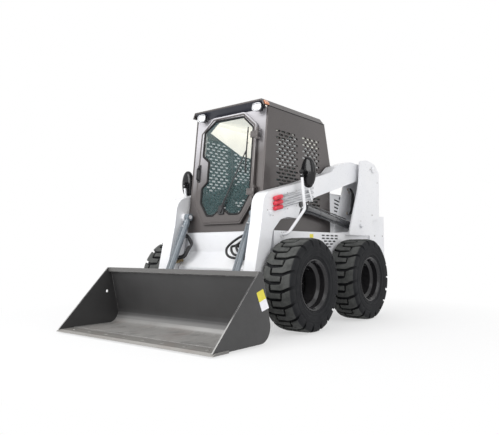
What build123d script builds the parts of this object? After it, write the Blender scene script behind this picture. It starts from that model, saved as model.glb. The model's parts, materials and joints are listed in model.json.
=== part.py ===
"""Skid steer loader with a glazed cab, vertical-mast style arms and a general purpose bucket.

Row axes: +X to the machine's left, +Y to its rear, +Z up, in millimetres.
The origin is on the ground under the middle of the machine.
"""
from build123d import *
import os
from math import atan, cos, degrees, hypot, pi, radians, sin, tan

os.makedirs("parts", exist_ok=True)

# ---- stance and wheels ----
tyre_diameter = 833.0
tyre_width = 310.0
rim_seat_radius = 209.0
wheel_base = 1100.0
front_axle_y = -370.0
rear_axle_y = front_axle_y + wheel_base
axle_z = tyre_diameter / 2
seat_gap = 0.3          # assembly gap between curved seats that do not move
running_gap = 0.05      # radial clearance of pins and shafts

# ---- widths, from the middle of the machine outwards ----
cab_half_width = 463.0
cab_arm_gap = 12.0
arm_width = 128.0
tyre_gap = 17.0
arm_inner_x = cab_half_width + cab_arm_gap
arm_outer_x = arm_inner_x + arm_width
nose_half_width = cab_half_width - 8.0
body_half_width = arm_outer_x
tyre_inner_x = body_half_width + tyre_gap
tyre_mid_x = tyre_inner_x + tyre_width / 2
tyre_outer_x = tyre_inner_x + tyre_width
bucket_side_margin = 10.0
bucket_half_width = tyre_outer_x + bucket_side_margin

# ---- heights ----
belly_z = 215.0
deck_z = 900.0
cab_top_z = 2140.0
cab_eave_z = cab_top_z - 60.0
# the cab's outlines are drawn for 463 mm by 1180 mm and follow these shares of it
cab_wide = cab_half_width / 463.0
cab_tall = (cab_eave_z - deck_z) / 1180.0

# ---- pivots, as (y, z) ----
arm_pivot = (1350.0, 1650.0)
bucket_pivot = (-850.0, 205.0)
lift_base = (1030.0, 985.0)
lift_eye = (-120.0, 1160.0)
tilt_base = (-605.0, 1055.0)
tilt_eye = (-945.0, 350.0)
arm_pin_radius = 30.0
bucket_pin_radius = 25.0
cylinder_pin_radius = 20.0

# ---- cab ----
cab_front_y = -569.0    # front plane where it meets the deck
cab_lean = 6.87         # degrees that the front plane leans back
cab_wall = 20.0
cab_rear_y = 690.0

# ---- plates ----
upright_plate = 15.0
tail_rear_y = 1724.0

SIDES = (("left", 1), ("right", -1))


def slab(outline, x_low, x_high, mode=Mode.ADD):
    """Side outline of (y, z, corner radius) rows, extruded from x_low to x_high."""
    points = [(row[0], row[1]) for row in outline]
    corners = [row[2] if len(row) > 2 else 0 for row in outline]
    with BuildSketch(Plane.YZ.offset(x_low)) as profile:
        with BuildLine():
            FilletPolyline(*points, radius=corners, close=True)
        make_face()
    extrude(profile.sketch, amount=x_high - x_low, mode=mode)


def round_x(centre, radius, x_low, x_high, mode=Mode.ADD):
    """Cylinder along X about a (y, z) centre."""
    with BuildSketch(Plane.YZ.offset(x_low)) as section:
        with Locations(centre):
            Circle(radius)
    extrude(section.sketch, amount=x_high - x_low, mode=mode)


def block(x_span, y_span, z_span, mode=Mode.ADD):
    """Box between two corners."""
    with BuildSketch(Plane.XY.offset(z_span[0])) as base:
        with Locations(((x_span[0] + x_span[1]) / 2, (y_span[0] + y_span[1]) / 2)):
            Rectangle(abs(x_span[1] - x_span[0]), y_span[1] - y_span[0])
    extrude(base.sketch, amount=z_span[1] - z_span[0], mode=mode)


def tube(points, radius, bend):
    """Round bar or hose along straight runs joined by arcs of radius bend."""
    with BuildLine() as path:
        FilletPolyline(*points, radius=bend)
    with BuildSketch(Plane(origin=path.line @ 0, z_dir=path.line % 0)) as section:
        Circle(radius)
    sweep(section.sketch, path=path.line)


def rod(start, end, radius, mode=Mode.ADD):
    """Straight round bar between two points."""
    axis = Vector(*end) - Vector(*start)
    with BuildSketch(Plane(origin=start, z_dir=axis)) as section:
        Circle(radius)
    extrude(section.sketch, amount=axis.length, mode=mode)


def along(start, end, distance):
    """Point at a distance from start on the (y, z) line to end."""
    length = hypot(end[0] - start[0], end[1] - start[1])
    share = distance / length
    return (start[0] + (end[0] - start[0]) * share, start[1] + (end[1] - start[1]) * share)


def save(builder, name):
    """Label a finished piece and write it."""
    builder.part.label = name
    export_step(builder.part, f"parts/{name}.step")


# ======================= wheels =======================
bead_half = 119.7
rim_flange_radius = rim_seat_radius + 19.0
rim_half = 134.0
rim_wall = 10.0
rim_well_radius = rim_seat_radius - 39.0
disc_offset = -107.0    # inner face of the wheel disc from the tyre's middle
disc_thickness = 12.0
hub_shaft_radius = 40.0
axle_tube_radius = 70.0
hub_clearance = 5.0
tyre_radius = tyre_diameter / 2
tread_flats = 36        # flats round the tyre, one groove in each
bead_flats = 20
shoulder_bevel = 32.0
bead_run = 55.0         # the bead's cone, along the axle and outwards
bead_rise = 31.4
groove_width = 17.0
groove_depth = 24.0
groove_bend_x = 62.0    # from the shoulder to here a groove slants, then it runs level past the middle
groove_end_x = -52.0
groove_slant = 36.0     # how far round the tyre the slanted part runs

# outside of the rim (tyre side), then its inside, as (offset, radius)
rim_section = [
    (-rim_half, rim_flange_radius),
    (-bead_half - seat_gap, rim_flange_radius - 8.0),
    (-bead_half - seat_gap, rim_seat_radius),
    (-80.0, rim_seat_radius),
    (-60.0, rim_well_radius + rim_wall),
    (40.0, rim_well_radius + rim_wall),
    (60.0, rim_seat_radius),
    (bead_half + seat_gap, rim_seat_radius),
    (bead_half + seat_gap, rim_flange_radius - 8.0),
    (rim_half, rim_flange_radius),
    (rim_half, rim_flange_radius - 14.0),
    (bead_half - 4.0, rim_seat_radius - rim_wall),
    (66.0, rim_seat_radius - rim_wall),
    (46.0, rim_well_radius),
    (-66.0, rim_well_radius),
    (-86.0, rim_seat_radius - rim_wall),
    (disc_offset + disc_thickness, rim_seat_radius - rim_wall),
    (disc_offset + disc_thickness, 0.0),
    (disc_offset, 0.0),
    (disc_offset, rim_seat_radius - rim_wall),
    (-bead_half + 4.0, rim_seat_radius - rim_wall),
    (-rim_half, rim_flange_radius - 14.0),
]
hub_cap_radius = 62.0
hub_cap_depth = 30.0
stud_circle_radius = 102.0
stud_radius = 9.0
stud_count = 8

WHEELS = [(f"{end}_{side}", sign, y) for end, y in (("front", front_axle_y), ("rear", rear_axle_y))
          for side, sign in SIDES]



def flats_sketch(offset, radius, count):
    """Regular outline across the axle, at an offset from the tyre's middle."""
    with BuildSketch(Plane.YZ.offset(offset)) as flats:
        RegularPolygon(radius, count, rotation=90)
    return flats.sketch


tread_reach = tyre_radius * cos(pi / tread_flats)       # middle of a flat, from the axle
groove_out_x = tyre_width / 2 + 5.0
groove_out_y = groove_slant * (groove_out_x - groove_bend_x) / (tyre_width / 2 - groove_bend_x)
groove_path = [
    (groove_out_x, groove_out_y - groove_slant / 2),
    (groove_bend_x, -groove_slant / 2),
    (groove_end_x, -groove_slant / 2),
]
with BuildPart() as tyre_grooves:
    for flat in range(tread_flats):
        side = 1 if flat % 2 == 0 else -1
        angle = 2 * pi * (flat + 0.5) / tread_flats
        outward = (0, cos(angle), sin(angle))
        floor = Vector(*outward) * (tread_reach - groove_depth)
        edge_low = [(x, side * y - groove_width / 2) for x, y in groove_path]
        edge_high = [(x, side * y + groove_width / 2) for x, y in reversed(groove_path)]
        with BuildSketch(Plane(origin=floor, x_dir=(side, 0, 0), z_dir=outward)) as groove:
            with BuildLine():
                Polyline(*edge_low, *edge_high, close=True)
            make_face()
        extrude(groove.sketch, amount=groove_depth + 5.0)

with BuildPart() as tyre_blank:
    extrude(flats_sketch(0.0, tyre_radius, tread_flats), amount=tyre_width / 2, both=True)
    chamfer(tyre_blank.faces().filter_by(Axis.X).edges(), length=shoulder_bevel)
    bore_radius = (rim_seat_radius + seat_gap) / cos(pi / bead_flats)
    extrude(flats_sketch(0.0, bore_radius, bead_flats), amount=tyre_width / 2, both=True, mode=Mode.SUBTRACT)
    for side, sign in SIDES:
        bead_foot = flats_sketch(sign * (tyre_width / 2 - bead_run), bore_radius, bead_flats)
        extrude(bead_foot, amount=sign * bead_run, taper=-degrees(atan(bead_rise / bead_run)),
                mode=Mode.SUBTRACT)
    add(tyre_grooves.part, mode=Mode.SUBTRACT)

for wheel_name, sign, axle_y in WHEELS:
    wheel_plane = Plane(origin=(sign * tyre_mid_x, axle_y, axle_z), x_dir=(sign, 0, 0), z_dir=(0, -sign, 0))
    wheel_axis = Axis((0, axle_y, axle_z), (1, 0, 0))

    with BuildPart() as tyre:
        with Locations((sign * tyre_mid_x, axle_y, axle_z)):
            add(tyre_blank.part)
    save(tyre, f"tyre_{wheel_name}")

    with BuildPart() as rim:
        with BuildSketch(wheel_plane) as rim_face:
            with BuildLine():
                Polyline(*rim_section, close=True)
            make_face()
        revolve(rim_face.sketch, axis=wheel_axis)
        disc_out = sign * (tyre_mid_x + disc_offset + disc_thickness)
        disc_in = sign * (tyre_mid_x + disc_offset)
        round_x((axle_y, axle_z), hub_cap_radius, disc_out, disc_out + sign * hub_cap_depth)
        shaft_end = sign * (body_half_width + hub_clearance)
        round_x((axle_y, axle_z), hub_shaft_radius, disc_in, shaft_end)
        for stud in range(stud_count):
            angle = 2 * pi * stud / stud_count
            spot = (axle_y + stud_circle_radius * cos(angle), axle_z + stud_circle_radius * sin(angle))
            round_x(spot, stud_radius, disc_out, disc_out + sign * 22.0)
    save(rim, f"rim_{wheel_name}")

with BuildPart() as axle_housings:
    for wheel_name, sign, axle_y in WHEELS:
        tube_end = tyre_mid_x + disc_offset - hub_clearance
        centre = (axle_y, axle_z)
        round_x(centre, axle_tube_radius + 35.0, sign * body_half_width, sign * (body_half_width + 12.0))
        round_x(centre, axle_tube_radius, sign * body_half_width, sign * tube_end)
        round_x(centre, hub_shaft_radius + running_gap, sign * body_half_width, sign * tube_end,
                mode=Mode.SUBTRACT)
save(axle_housings, "axle_housings")

# ======================= chassis =======================
front_panel_y = cab_front_y - 1.0
side_box_front_y = -550.0
side_box_floor_z = 300.0
tub_rear_y = 1600.0
tub_wall = 45.0
footwell_rear_y = -60.0
footwell_floor_z = 470.0
bay_front_y = footwell_rear_y + tub_wall
bay_floor_z = belly_z + tub_wall
post_front_y = 1330.0

nose_outline = [
    (front_panel_y, deck_z - 5.0, 0),
    (front_panel_y, 711.0, 25),
    (front_panel_y - 130.0, 560.0, 20),
    (front_panel_y - 105.0, 420.0, 20),
    (front_panel_y - 30.0, belly_z, 20),
    (tub_rear_y - 200.0, belly_z, 0),
    (tub_rear_y, belly_z + 135.0, 0),
    (tub_rear_y, deck_z, 0),
    (front_panel_y + 5.0, deck_z, 0),
]
vent_slot = (70.0, 15.0, 12.0)      # length, height and depth of a slot in the chassis side vents
vent_pitch = 88.0
# rows of the vents, as (middle of the first slot, height, slots)
vent_rows = (
    (310.0, 868.0, 4),
    (310.0, 839.0, 4),
    (354.0, 810.0, 3),
    (386.0, 781.0, 2),
    (430.0, 752.0, 1),
)

belly_plate = (260.0, 6.0)          # half width and thickness
belly_plate_spans = ((-430.0, -80.0), (80.0, 640.0), (820.0, 1360.0))
with BuildPart() as chassis_tub:
    slab(nose_outline, -nose_half_width, nose_half_width)
    for plate_span in belly_plate_spans:
        block((-belly_plate[0], belly_plate[0]), plate_span, (belly_z - belly_plate[1], belly_z + 1.0))
    for side, sign in SIDES:
        block((sign * nose_half_width, sign * body_half_width), (side_box_front_y, post_front_y),
              (side_box_floor_z, deck_z))
        for first_y, row_z, count in vent_rows:
            with BuildSketch(Plane.YZ.offset(sign * (body_half_width - vent_slot[2]))) as vent:
                with Locations(*[(first_y + vent_pitch * slot, row_z) for slot in range(count)]):
                    Rectangle(vent_slot[0], vent_slot[1])
            extrude(vent.sketch, amount=sign * vent_slot[2], mode=Mode.SUBTRACT)
    inner = nose_half_width - tub_wall
    block((-inner, inner), (front_panel_y + tub_wall, footwell_rear_y), (footwell_floor_z, deck_z),
          mode=Mode.SUBTRACT)
    block((-inner, inner), (bay_front_y, tub_rear_y - tub_wall), (bay_floor_z, deck_z), mode=Mode.SUBTRACT)
    block((-inner, inner), (tub_rear_y - tub_wall, tub_rear_y), (490.0, deck_z), mode=Mode.SUBTRACT)
save(chassis_tub, "chassis_tub")

engine_size = (460.0, 620.0, 640.0)     # width, length and height of the engine with its pump
with BuildPart() as engine_block:
    block((-engine_size[0] / 2, engine_size[0] / 2), (860.0, 860.0 + engine_size[1]),
          (bay_floor_z, bay_floor_z + engine_size[2]))
save(engine_block, "engine_block")

# ---- tail frame: corner posts and the bar under the rear door ----
post_inner_x = nose_half_width + 5.0
post_outer_x = tyre_inner_x
post_floor_z = 350.0
post_top_front_z = 1053.0
post_top_rear_z = 1118.0
tail_bar_top_z = 480.0


def post_top(y):
    """Height of the corner posts' sloping top edge."""
    share = (y - post_front_y) / (tail_rear_y - 74.0 - post_front_y)
    return post_top_front_z + share * (post_top_rear_z - post_top_front_z)


post_outline = [
    (post_front_y, post_floor_z, 0),
    (tail_rear_y, post_floor_z, 30),
    (tail_rear_y, post_top_rear_z, 12),
    (tail_rear_y - 74.0, post_top_rear_z, 0),
    (post_front_y, post_top_front_z, 0),
]
door_pin_x = -(post_inner_x - 13.0)
door_pin_y = tail_rear_y - 12.0
door_pin_radius = 8.0
knuckle_radius = 12.0
rear_door_front_y = tail_rear_y - 34.0
rear_door_half = post_inner_x - 28.0
rear_door_z = (tail_bar_top_z + 8.0, post_top_rear_z + 10.0)
hinge_feet = (rear_door_z[0] + 90.0, rear_door_z[1] - 150.0)
tie_down_hole = (tail_rear_y - 56.0, post_floor_z - 45.0)
tie_down_radius = 18.0
tie_down_x = (post_outer_x - 60.0, post_outer_x - 40.0)
tie_down_outline = [
    (tie_down_hole[0] - 62.0, post_floor_z, 0),
    (tie_down_hole[0] + 46.0, post_floor_z, 0),
    (tie_down_hole[0] + 34.0, tie_down_hole[1] - 36.0, 26),
    (tie_down_hole[0] - 34.0, tie_down_hole[1] - 36.0, 26),
]
with BuildPart() as tail_frame:
    for side, sign in SIDES:
        slab(post_outline, sign * post_inner_x, sign * post_outer_x)
        slab(tie_down_outline, sign * tie_down_x[0], sign * tie_down_x[1])
        round_x(tie_down_hole, tie_down_radius, sign * tie_down_x[0], sign * tie_down_x[1],
                mode=Mode.SUBTRACT)
    block((-post_inner_x, post_inner_x), (tub_rear_y, tail_rear_y), (post_floor_z, tail_bar_top_z))
    for foot in hinge_feet:
        with BuildSketch(Plane.XY.offset(foot - 15.0)) as pin:
            with Locations((door_pin_x, door_pin_y)):
                Circle(door_pin_radius)
        extrude(pin.sketch, amount=90.0)
        for lug in (foot - 15.0, foot + 61.0):
            block((-post_inner_x, door_pin_x + 8.0), (door_pin_y - 8.0, door_pin_y + 8.0), (lug, lug + 14.0))
save(tail_frame, "tail_frame")

# ---- engine side panels and hood ----
panel_outer_x = nose_half_width
panel_thickness = 15.0
panel_front_y = cab_rear_y + 4.0
panel_top_z = 1310.0
hood_hinge = (750.0, 1322.0)
hood_pin_radius = 8.0
hood_half_width = panel_outer_x - panel_thickness - 6.0
panel_port = (930.0, 1298.0)
panel_port_radius = 20.0
louvre_count = 5
louvre_foot = (800.0, 1105.0)       # lower front corner of the lowest louvre
louvre_pitch = 41.0
louvre_run = 145.0
louvre_fall = 24.0
louvre_height = 18.0
with BuildPart() as engine_sides:
    for side, sign in SIDES:
        panel_outline = [
            (panel_front_y, deck_z, 0),
            (post_front_y + 250.0, deck_z, 0),
            (post_front_y + 250.0, 1160.0, 0),
            (1250.0, panel_top_z, 0),
            (hood_hinge[0] + 20.0, panel_top_z + 28.0, 0),
            (panel_front_y, panel_top_z + 28.0, 20),
        ]
        slab(panel_outline, sign * (panel_outer_x - panel_thickness), sign * panel_outer_x)
        round_x(hood_hinge, hood_pin_radius, sign * (hood_half_width - 30.0), sign * panel_outer_x)
        round_x(panel_port, panel_port_radius, sign * (panel_outer_x - panel_thickness),
                sign * panel_outer_x, mode=Mode.SUBTRACT)
        for louvre in range(louvre_count):
            ahead_y, ahead_z = louvre_foot[0], louvre_foot[1] + louvre_pitch * louvre
            behind_y, behind_z = ahead_y + louvre_run, ahead_z - louvre_fall
            slab([(ahead_y, ahead_z), (behind_y, behind_z), (behind_y, behind_z + louvre_height),
                  (ahead_y, ahead_z + louvre_height)], sign * (panel_outer_x - panel_thickness),
                 sign * panel_outer_x, mode=Mode.SUBTRACT)
save(engine_sides, "engine_sides")

hood_thickness = 25.0
hood_front_y = hood_hinge[0] - 12.0
hood_rear_y = tail_rear_y - 44.0
hood_outline = [
    (hood_front_y, hood_hinge[1] - 12.0, 0),
    (hood_front_y, hood_hinge[1] + 22.0, 10),
    (1250.0, 1335.0, 60),
    (hood_rear_y, 1160.0, 12),
    (hood_rear_y, 1160.0 - hood_thickness, 0),
    (1245.0, 1335.0 - hood_thickness, 60),
    (hood_front_y + 60.0, 1322.0, 0),
    (hood_front_y + 30.0, hood_hinge[1] - 12.0, 0),
]
hood_slot = (270.0, 16.0)           # length across and width of a slot in the hood
hood_slot_x = 190.0
hood_slot_rows = 7
hood_slot_pitch = 38.0
with BuildPart() as engine_hood:
    slab(hood_outline, -hood_half_width, hood_half_width)
    for row in range(hood_slot_rows):
        slot_y = 1340.0 + hood_slot_pitch * row
        for side, sign in SIDES:
            block((sign * (hood_slot_x - hood_slot[0] / 2), sign * (hood_slot_x + hood_slot[0] / 2)),
                  (slot_y, slot_y + hood_slot[1]), (1160.0, 1360.0), mode=Mode.SUBTRACT)
    round_x(hood_hinge, hood_pin_radius + running_gap, -hood_half_width, hood_half_width, mode=Mode.SUBTRACT)
save(engine_hood, "engine_hood")

# ---- rear door, hinged on the machine's right ----
grille_slot = (300.0, 22.0)         # length and height of a slot in the rear door
grille_x = 190.0
grille_foot_z = rear_door_z[0] + 80.0
grille_rows = 10
grille_pitch = 48.0
with BuildPart() as rear_door:
    block((-rear_door_half, rear_door_half), (rear_door_front_y, tail_rear_y - 6.0), rear_door_z)
    for row in range(grille_rows):
        slot_z = grille_foot_z + grille_pitch * row
        for side, sign in SIDES:
            block((sign * (grille_x - grille_slot[0] / 2), sign * (grille_x + grille_slot[0] / 2)),
                  (rear_door_front_y, tail_rear_y), (slot_z, slot_z + grille_slot[1]), mode=Mode.SUBTRACT)
    for foot in hinge_feet:
        with BuildSketch(Plane.XY.offset(foot)) as knuckle:
            with Locations((door_pin_x, door_pin_y)):
                Circle(knuckle_radius)
            with Locations((door_pin_x + 12.0, door_pin_y)):
                Rectangle(24.0, 12.0)
            with Locations((door_pin_x, door_pin_y)):
                Circle(door_pin_radius + running_gap, mode=Mode.SUBTRACT)
        extrude(knuckle.sketch, amount=60.0)
save(rear_door, "rear_door")

tail_lamp_x = (post_inner_x + 40.0, post_inner_x + 120.0)
with BuildPart() as tail_lamps:
    for side, sign in SIDES:
        block((sign * tail_lamp_x[0], sign * tail_lamp_x[1]), (tail_rear_y, tail_rear_y + 6.0), (930.0, 1050.0))
save(tail_lamps, "tail_lamps")

# ======================= uprights =======================
upright_outer_x = arm_outer_x + 57.0
upright_inner_x = nose_half_width
shelf_z = tyre_diameter + 47.0
upright_outline = [
    (760.0, deck_z, 0),
    (798.0, 995.0, 40),
    (958.0, 1345.0, 120),
    (1015.0, 1499.0, 200),
    (1038.0, 1719.0, 25),
    (1207.0, 1747.0, 200),
    (1403.0, 1722.0, 60),
    (1523.0, 1634.0, 60),
    (1511.0, post_top(1511.0), 0),
    (post_front_y, post_top_front_z, 0),
    (post_front_y - 40.0, deck_z, 0),
]
rear_web_outline = [
    (1522.0, 1634.0, 0),
    (1510.0, post_top(1510.0), 0),
    (1495.0, post_top(1495.0), 0),
    (1507.0, 1634.0, 0),
]
for side, sign in SIDES:
    with BuildPart() as upright:
        slab(upright_outline, sign * upright_inner_x, sign * (upright_inner_x + 12.0))
        slab(upright_outline, sign * (upright_outer_x - upright_plate), sign * upright_outer_x)
        slab(rear_web_outline, sign * upright_inner_x, sign * upright_outer_x)
        block((sign * body_half_width, sign * upright_outer_x), (760.0, post_front_y - 40.0),
              (shelf_z, deck_z))
        block((sign * upright_inner_x, sign * upright_outer_x), (762.0, post_front_y - 40.0),
              (deck_z, deck_z + 14.0))
        round_x(arm_pivot, arm_pin_radius, sign * upright_inner_x, sign * (upright_outer_x + 8.0))
        round_x(arm_pivot, arm_pin_radius + 22.0, sign * (arm_outer_x + 5.0), sign * upright_outer_x)
        round_x(lift_base, cylinder_pin_radius, sign * upright_inner_x, sign * (upright_outer_x + 6.0))
    save(upright, f"upright_{side}")

# ======================= lift arms =======================
arm_boss_radius = 85.0
bucket_boss_radius = 75.0
arm_outline = [
    (bucket_pivot[0] - 70.0, bucket_pivot[1] + 27.0, 0),
    (-836.0, 530.0, 200),
    (-732.0, 978.0, 400),
    (-697.0, 1228.0, 150),
    (-113.0, 1370.0, 0),
    (490.0, 1537.0, 40),
    (590.0, 1612.0, 80),
    (870.0, 1690.0, 120),
    (arm_pivot[0], arm_pivot[1] + 40.0, 0),
    (arm_pivot[0], arm_pivot[1] - arm_boss_radius, 0),
    (1134.0, 1516.0, 0),
    (205.0, 1261.0, 0),
    (-86.0, 1165.0, 15),
    (-167.0, 1022.0, 25),
    (-330.0, 1030.0, 0),
    (-447.0, 1002.0, 60),
    (-566.0, 898.0, 60),
    (-596.0, 770.0, 100),
    (-655.0, 530.0, 200),
    (bucket_pivot[0] + 74.0, bucket_pivot[1] + 10.0, 0),
]
pocket_wall = 24.0
pocket_outline = [
    (lift_eye[0] - 75.0, lift_eye[1] - 260.0, 0),
    (lift_eye[0] - 75.0, lift_eye[1] + 122.0, 30),
    (lift_eye[0] + 180.0, lift_eye[1] + 122.0, 0),
    (lift_eye[0] + 310.0, lift_eye[1] + 100.0, 0),
    (lift_eye[0] + 310.0, lift_eye[1] - 260.0, 0),
]
tilt_lug_radius = 42.0
tilt_mid_x = arm_inner_x - 60.0
tilt_eye_half = 25.0
cross_tube_centre = (bucket_pivot[0] + 98.0, bucket_pivot[1] + 195.0)
cross_tube_radius = 45.0
for side, sign in SIDES:
    with BuildPart() as arm:
        slab(arm_outline, sign * arm_inner_x, sign * arm_outer_x)
        round_x(arm_pivot, arm_boss_radius, sign * arm_inner_x, sign * arm_outer_x)
        round_x(bucket_pivot, bucket_boss_radius, sign * arm_inner_x, sign * arm_outer_x)
        slab(pocket_outline, sign * (arm_inner_x + pocket_wall), sign * (arm_outer_x - pocket_wall),
             mode=Mode.SUBTRACT)
        round_x(arm_pivot, arm_pin_radius + running_gap, sign * arm_inner_x, sign * arm_outer_x,
                mode=Mode.SUBTRACT)
        round_x(bucket_pivot, bucket_pin_radius + running_gap, sign * arm_inner_x, sign * arm_outer_x,
                mode=Mode.SUBTRACT)
        round_x(tilt_base, tilt_lug_radius, sign * arm_inner_x, sign * (tilt_mid_x + tilt_eye_half + 1.0))
        round_x(tilt_base, cylinder_pin_radius, sign * arm_inner_x, sign * (tilt_mid_x - tilt_eye_half - 4.0))
        round_x(lift_eye, 34.0, sign * arm_outer_x, sign * (arm_outer_x + 6.0))
    save(arm, f"arm_{side}")

with BuildPart() as cross_tube:
    round_x(cross_tube_centre, cross_tube_radius, -arm_inner_x, arm_inner_x)
save(cross_tube, "cross_tube")

# ---- lift cylinders ----
lift_mid_x = (arm_inner_x + arm_outer_x) / 2
lift_eye_half = 30.0
lift_length = hypot(lift_eye[0] - lift_base[0], lift_eye[1] - lift_base[1])
lift_barrel_radius = 40.0
lift_rod_radius = 22.5
lift_gland_gap = 180.0      # from the gland to the rod's eye at rest
lift_barrel_end = lift_length - lift_gland_gap
lift_rod_tail = 90.0        # from the base pin to the rod's inner end
tilt_length = hypot(tilt_eye[0] - tilt_base[0], tilt_eye[1] - tilt_base[1])
tilt_barrel_radius = 32.0
tilt_rod_radius = 17.5
tilt_gland_gap = 128.0
tilt_barrel_end = tilt_length - tilt_gland_gap
tilt_rod_tail = 190.0


def cylinder_barrel(base, eye, mid_x, half, start, end, radius, bore, pin_radius, eye_radius):
    """Cylinder barrel from its base eye at (y, z) base towards eye."""
    near = along(base, eye, start)
    rod((mid_x, base[0], base[1]), (mid_x, near[0], near[1]), half - 3.0)
    far = along(base, eye, end)
    neck = along(base, eye, end - 60.0)
    rod((mid_x, near[0], near[1]), (mid_x, far[0], far[1]), radius)
    rod((mid_x, neck[0], neck[1]), (mid_x, far[0], far[1]), radius + 5.0)
    round_x(base, eye_radius, mid_x - half, mid_x + half)
    round_x(base, pin_radius + running_gap, mid_x - half, mid_x + half, mode=Mode.SUBTRACT)
    hollow = along(base, eye, start + 40.0)
    rod((mid_x, hollow[0], hollow[1]), (mid_x, far[0], far[1]), bore + running_gap, mode=Mode.SUBTRACT)


def cylinder_rod(base, eye, mid_x, half, tail, radius, pin_radius, eye_radius):
    """Cylinder rod with its eye and the short pin that stays in it."""
    inner = along(base, eye, tail)
    rod((mid_x, inner[0], inner[1]), (mid_x, eye[0], eye[1]), radius)
    round_x(eye, eye_radius, mid_x - half, mid_x + half)
    round_x(eye, pin_radius, mid_x - half - 3.0, mid_x + half + 3.0)


with BuildPart() as lift_barrels:
    for side, sign in SIDES:
        cylinder_barrel(lift_base, lift_eye, sign * lift_mid_x, lift_eye_half, 50.0, lift_barrel_end,
                        lift_barrel_radius, lift_rod_radius, cylinder_pin_radius, 42.0)
save(lift_barrels, "lift_barrels")
with BuildPart() as lift_rods:
    for side, sign in SIDES:
        cylinder_rod(lift_base, lift_eye, sign * lift_mid_x, lift_eye_half, lift_rod_tail,
                     lift_rod_radius, cylinder_pin_radius, 40.0)
save(lift_rods, "lift_rods")
with BuildPart() as tilt_barrels:
    for side, sign in SIDES:
        cylinder_barrel(tilt_base, tilt_eye, sign * tilt_mid_x, tilt_eye_half, 50.0, tilt_barrel_end,
                        tilt_barrel_radius, tilt_rod_radius, cylinder_pin_radius, 36.0)
save(tilt_barrels, "tilt_barrels")
with BuildPart() as tilt_rods:
    for side, sign in SIDES:
        cylinder_rod(tilt_base, tilt_eye, sign * tilt_mid_x, tilt_eye_half, tilt_rod_tail,
                     tilt_rod_radius, cylinder_pin_radius, 36.0)
save(tilt_rods, "tilt_rods")

# ======================= bucket and coupler =======================
bucket_wall = 10.0
bucket_side_wall = 12.0
edge_tip_y = -1730.0
edge_rear_y = -1560.0
edge_floor_z = 12.0
edge_thickness = 18.0
floor_top_z = edge_floor_z + edge_thickness
heel_radius = 110.0
back_foot = (-1042.0, floor_top_z)      # where the floor and the back would meet, on their inner faces
back_head = (-1167.0, 553.0)
bucket_top = (-1195.0, 565.0)
lifting_hole = (-1205.0, 336.0)
lifting_hole_radius = 14.0


def bucket_back(distance, out):
    """Point up the bucket's back from its foot, and out to the rear of its inner face."""
    length = hypot(back_head[0] - back_foot[0], back_head[1] - back_foot[1])
    rise = ((back_head[0] - back_foot[0]) / length, (back_head[1] - back_foot[1]) / length)
    return (back_foot[0] + rise[0] * distance + rise[1] * out, back_foot[1] + rise[1] * distance - rise[0] * out)


back_length = hypot(back_head[0] - back_foot[0], back_head[1] - back_foot[1])
side_lip = bucket_wall + 2.0
side_corner_y = bucket_back(0.0, side_lip)[0] + 3.0
side_plate_outline = [
    (edge_tip_y + 10.0, floor_top_z, 0),
    (bucket_top[0], bucket_top[1], 12),
    (*bucket_back(back_length, side_lip), 8),
    (side_corner_y, floor_top_z - side_lip, heel_radius + side_lip),
    (edge_rear_y, floor_top_z - side_lip, 0),
    (edge_rear_y, floor_top_z, 0),
]
beam_depth = 40.0
beam_outline = [
    (bucket_top[0] + 4.0, bucket_top[1] - beam_depth, 0),
    (bucket_top[0] + 4.0, bucket_top[1], 6),
    (*bucket_back(back_length + 6.0, bucket_wall), 6),
    (*bucket_back(back_length - beam_depth, bucket_wall), 0),
]
wrapper_half = tyre_outer_x - bucket_side_wall
wear_strip_x = (-690.0, -230.0, 230.0, 690.0)
wear_strip_half = 40.0
wear_strip_y = (edge_rear_y + 16.0, -1190.0)
with BuildPart() as bucket:
    with BuildSketch(Plane.YZ.offset(-wrapper_half)) as wrapper:
        with BuildLine():
            FilletPolyline((edge_rear_y, floor_top_z), back_foot, back_head, radius=heel_radius)
            offset(amount=bucket_wall, side=Side.RIGHT)
        make_face()
    extrude(wrapper.sketch, amount=2 * wrapper_half)
    slab(beam_outline, -wrapper_half, wrapper_half)
    for strip_x in wear_strip_x:
        block((strip_x - wear_strip_half, strip_x + wear_strip_half), wear_strip_y,
              (edge_floor_z, floor_top_z - bucket_wall + 1.0))
    for side, sign in SIDES:
        slab(side_plate_outline, sign * wrapper_half, sign * tyre_outer_x)
        round_x(lifting_hole, lifting_hole_radius, sign * wrapper_half, sign * tyre_outer_x,
                mode=Mode.SUBTRACT)
save(bucket, "bucket")

with BuildPart() as cutting_edge:
    slab([(edge_tip_y, edge_floor_z, 0), (edge_tip_y + 4.0, edge_floor_z + 6.0, 0),
          (edge_tip_y + 28.0, floor_top_z, 0), (edge_rear_y, floor_top_z, 0), (edge_rear_y, edge_floor_z, 0)],
         -bucket_half_width, bucket_half_width)
save(cutting_edge, "cutting_edge")


# ---- coupler between the arms' ends and the bucket ----
ear_gap = 5.0
ear_thickness = 12.0
coupler_half_width = arm_outer_x + ear_gap + ear_thickness
coupler_plate = 26.0
plate_foot = 130.0
plate_head = 480.0
plate_outline = [
    (*bucket_back(plate_foot, bucket_wall + seat_gap), 0),
    (*bucket_back(plate_foot, bucket_wall + coupler_plate), 0),
    (*bucket_back(plate_head, bucket_wall + coupler_plate), 10),
    (*bucket_back(plate_head, bucket_wall + seat_gap), 0),
]
ear_outline = [
    (*bucket_back(plate_head - 40.0, bucket_wall + coupler_plate - 4.0), 0),
    (tilt_eye[0], tilt_eye[1] + 38.0, 20),
    (tilt_eye[0] + 37.0, tilt_eye[1], 10),
    (bucket_pivot[0] + 30.0, bucket_pivot[1] + 52.0, 20),
    (bucket_pivot[0] + 30.0, bucket_pivot[1] - 52.0, 20),
    (*bucket_back(plate_foot + 4.0, bucket_wall + coupler_plate - 4.0), 0),
]
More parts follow.
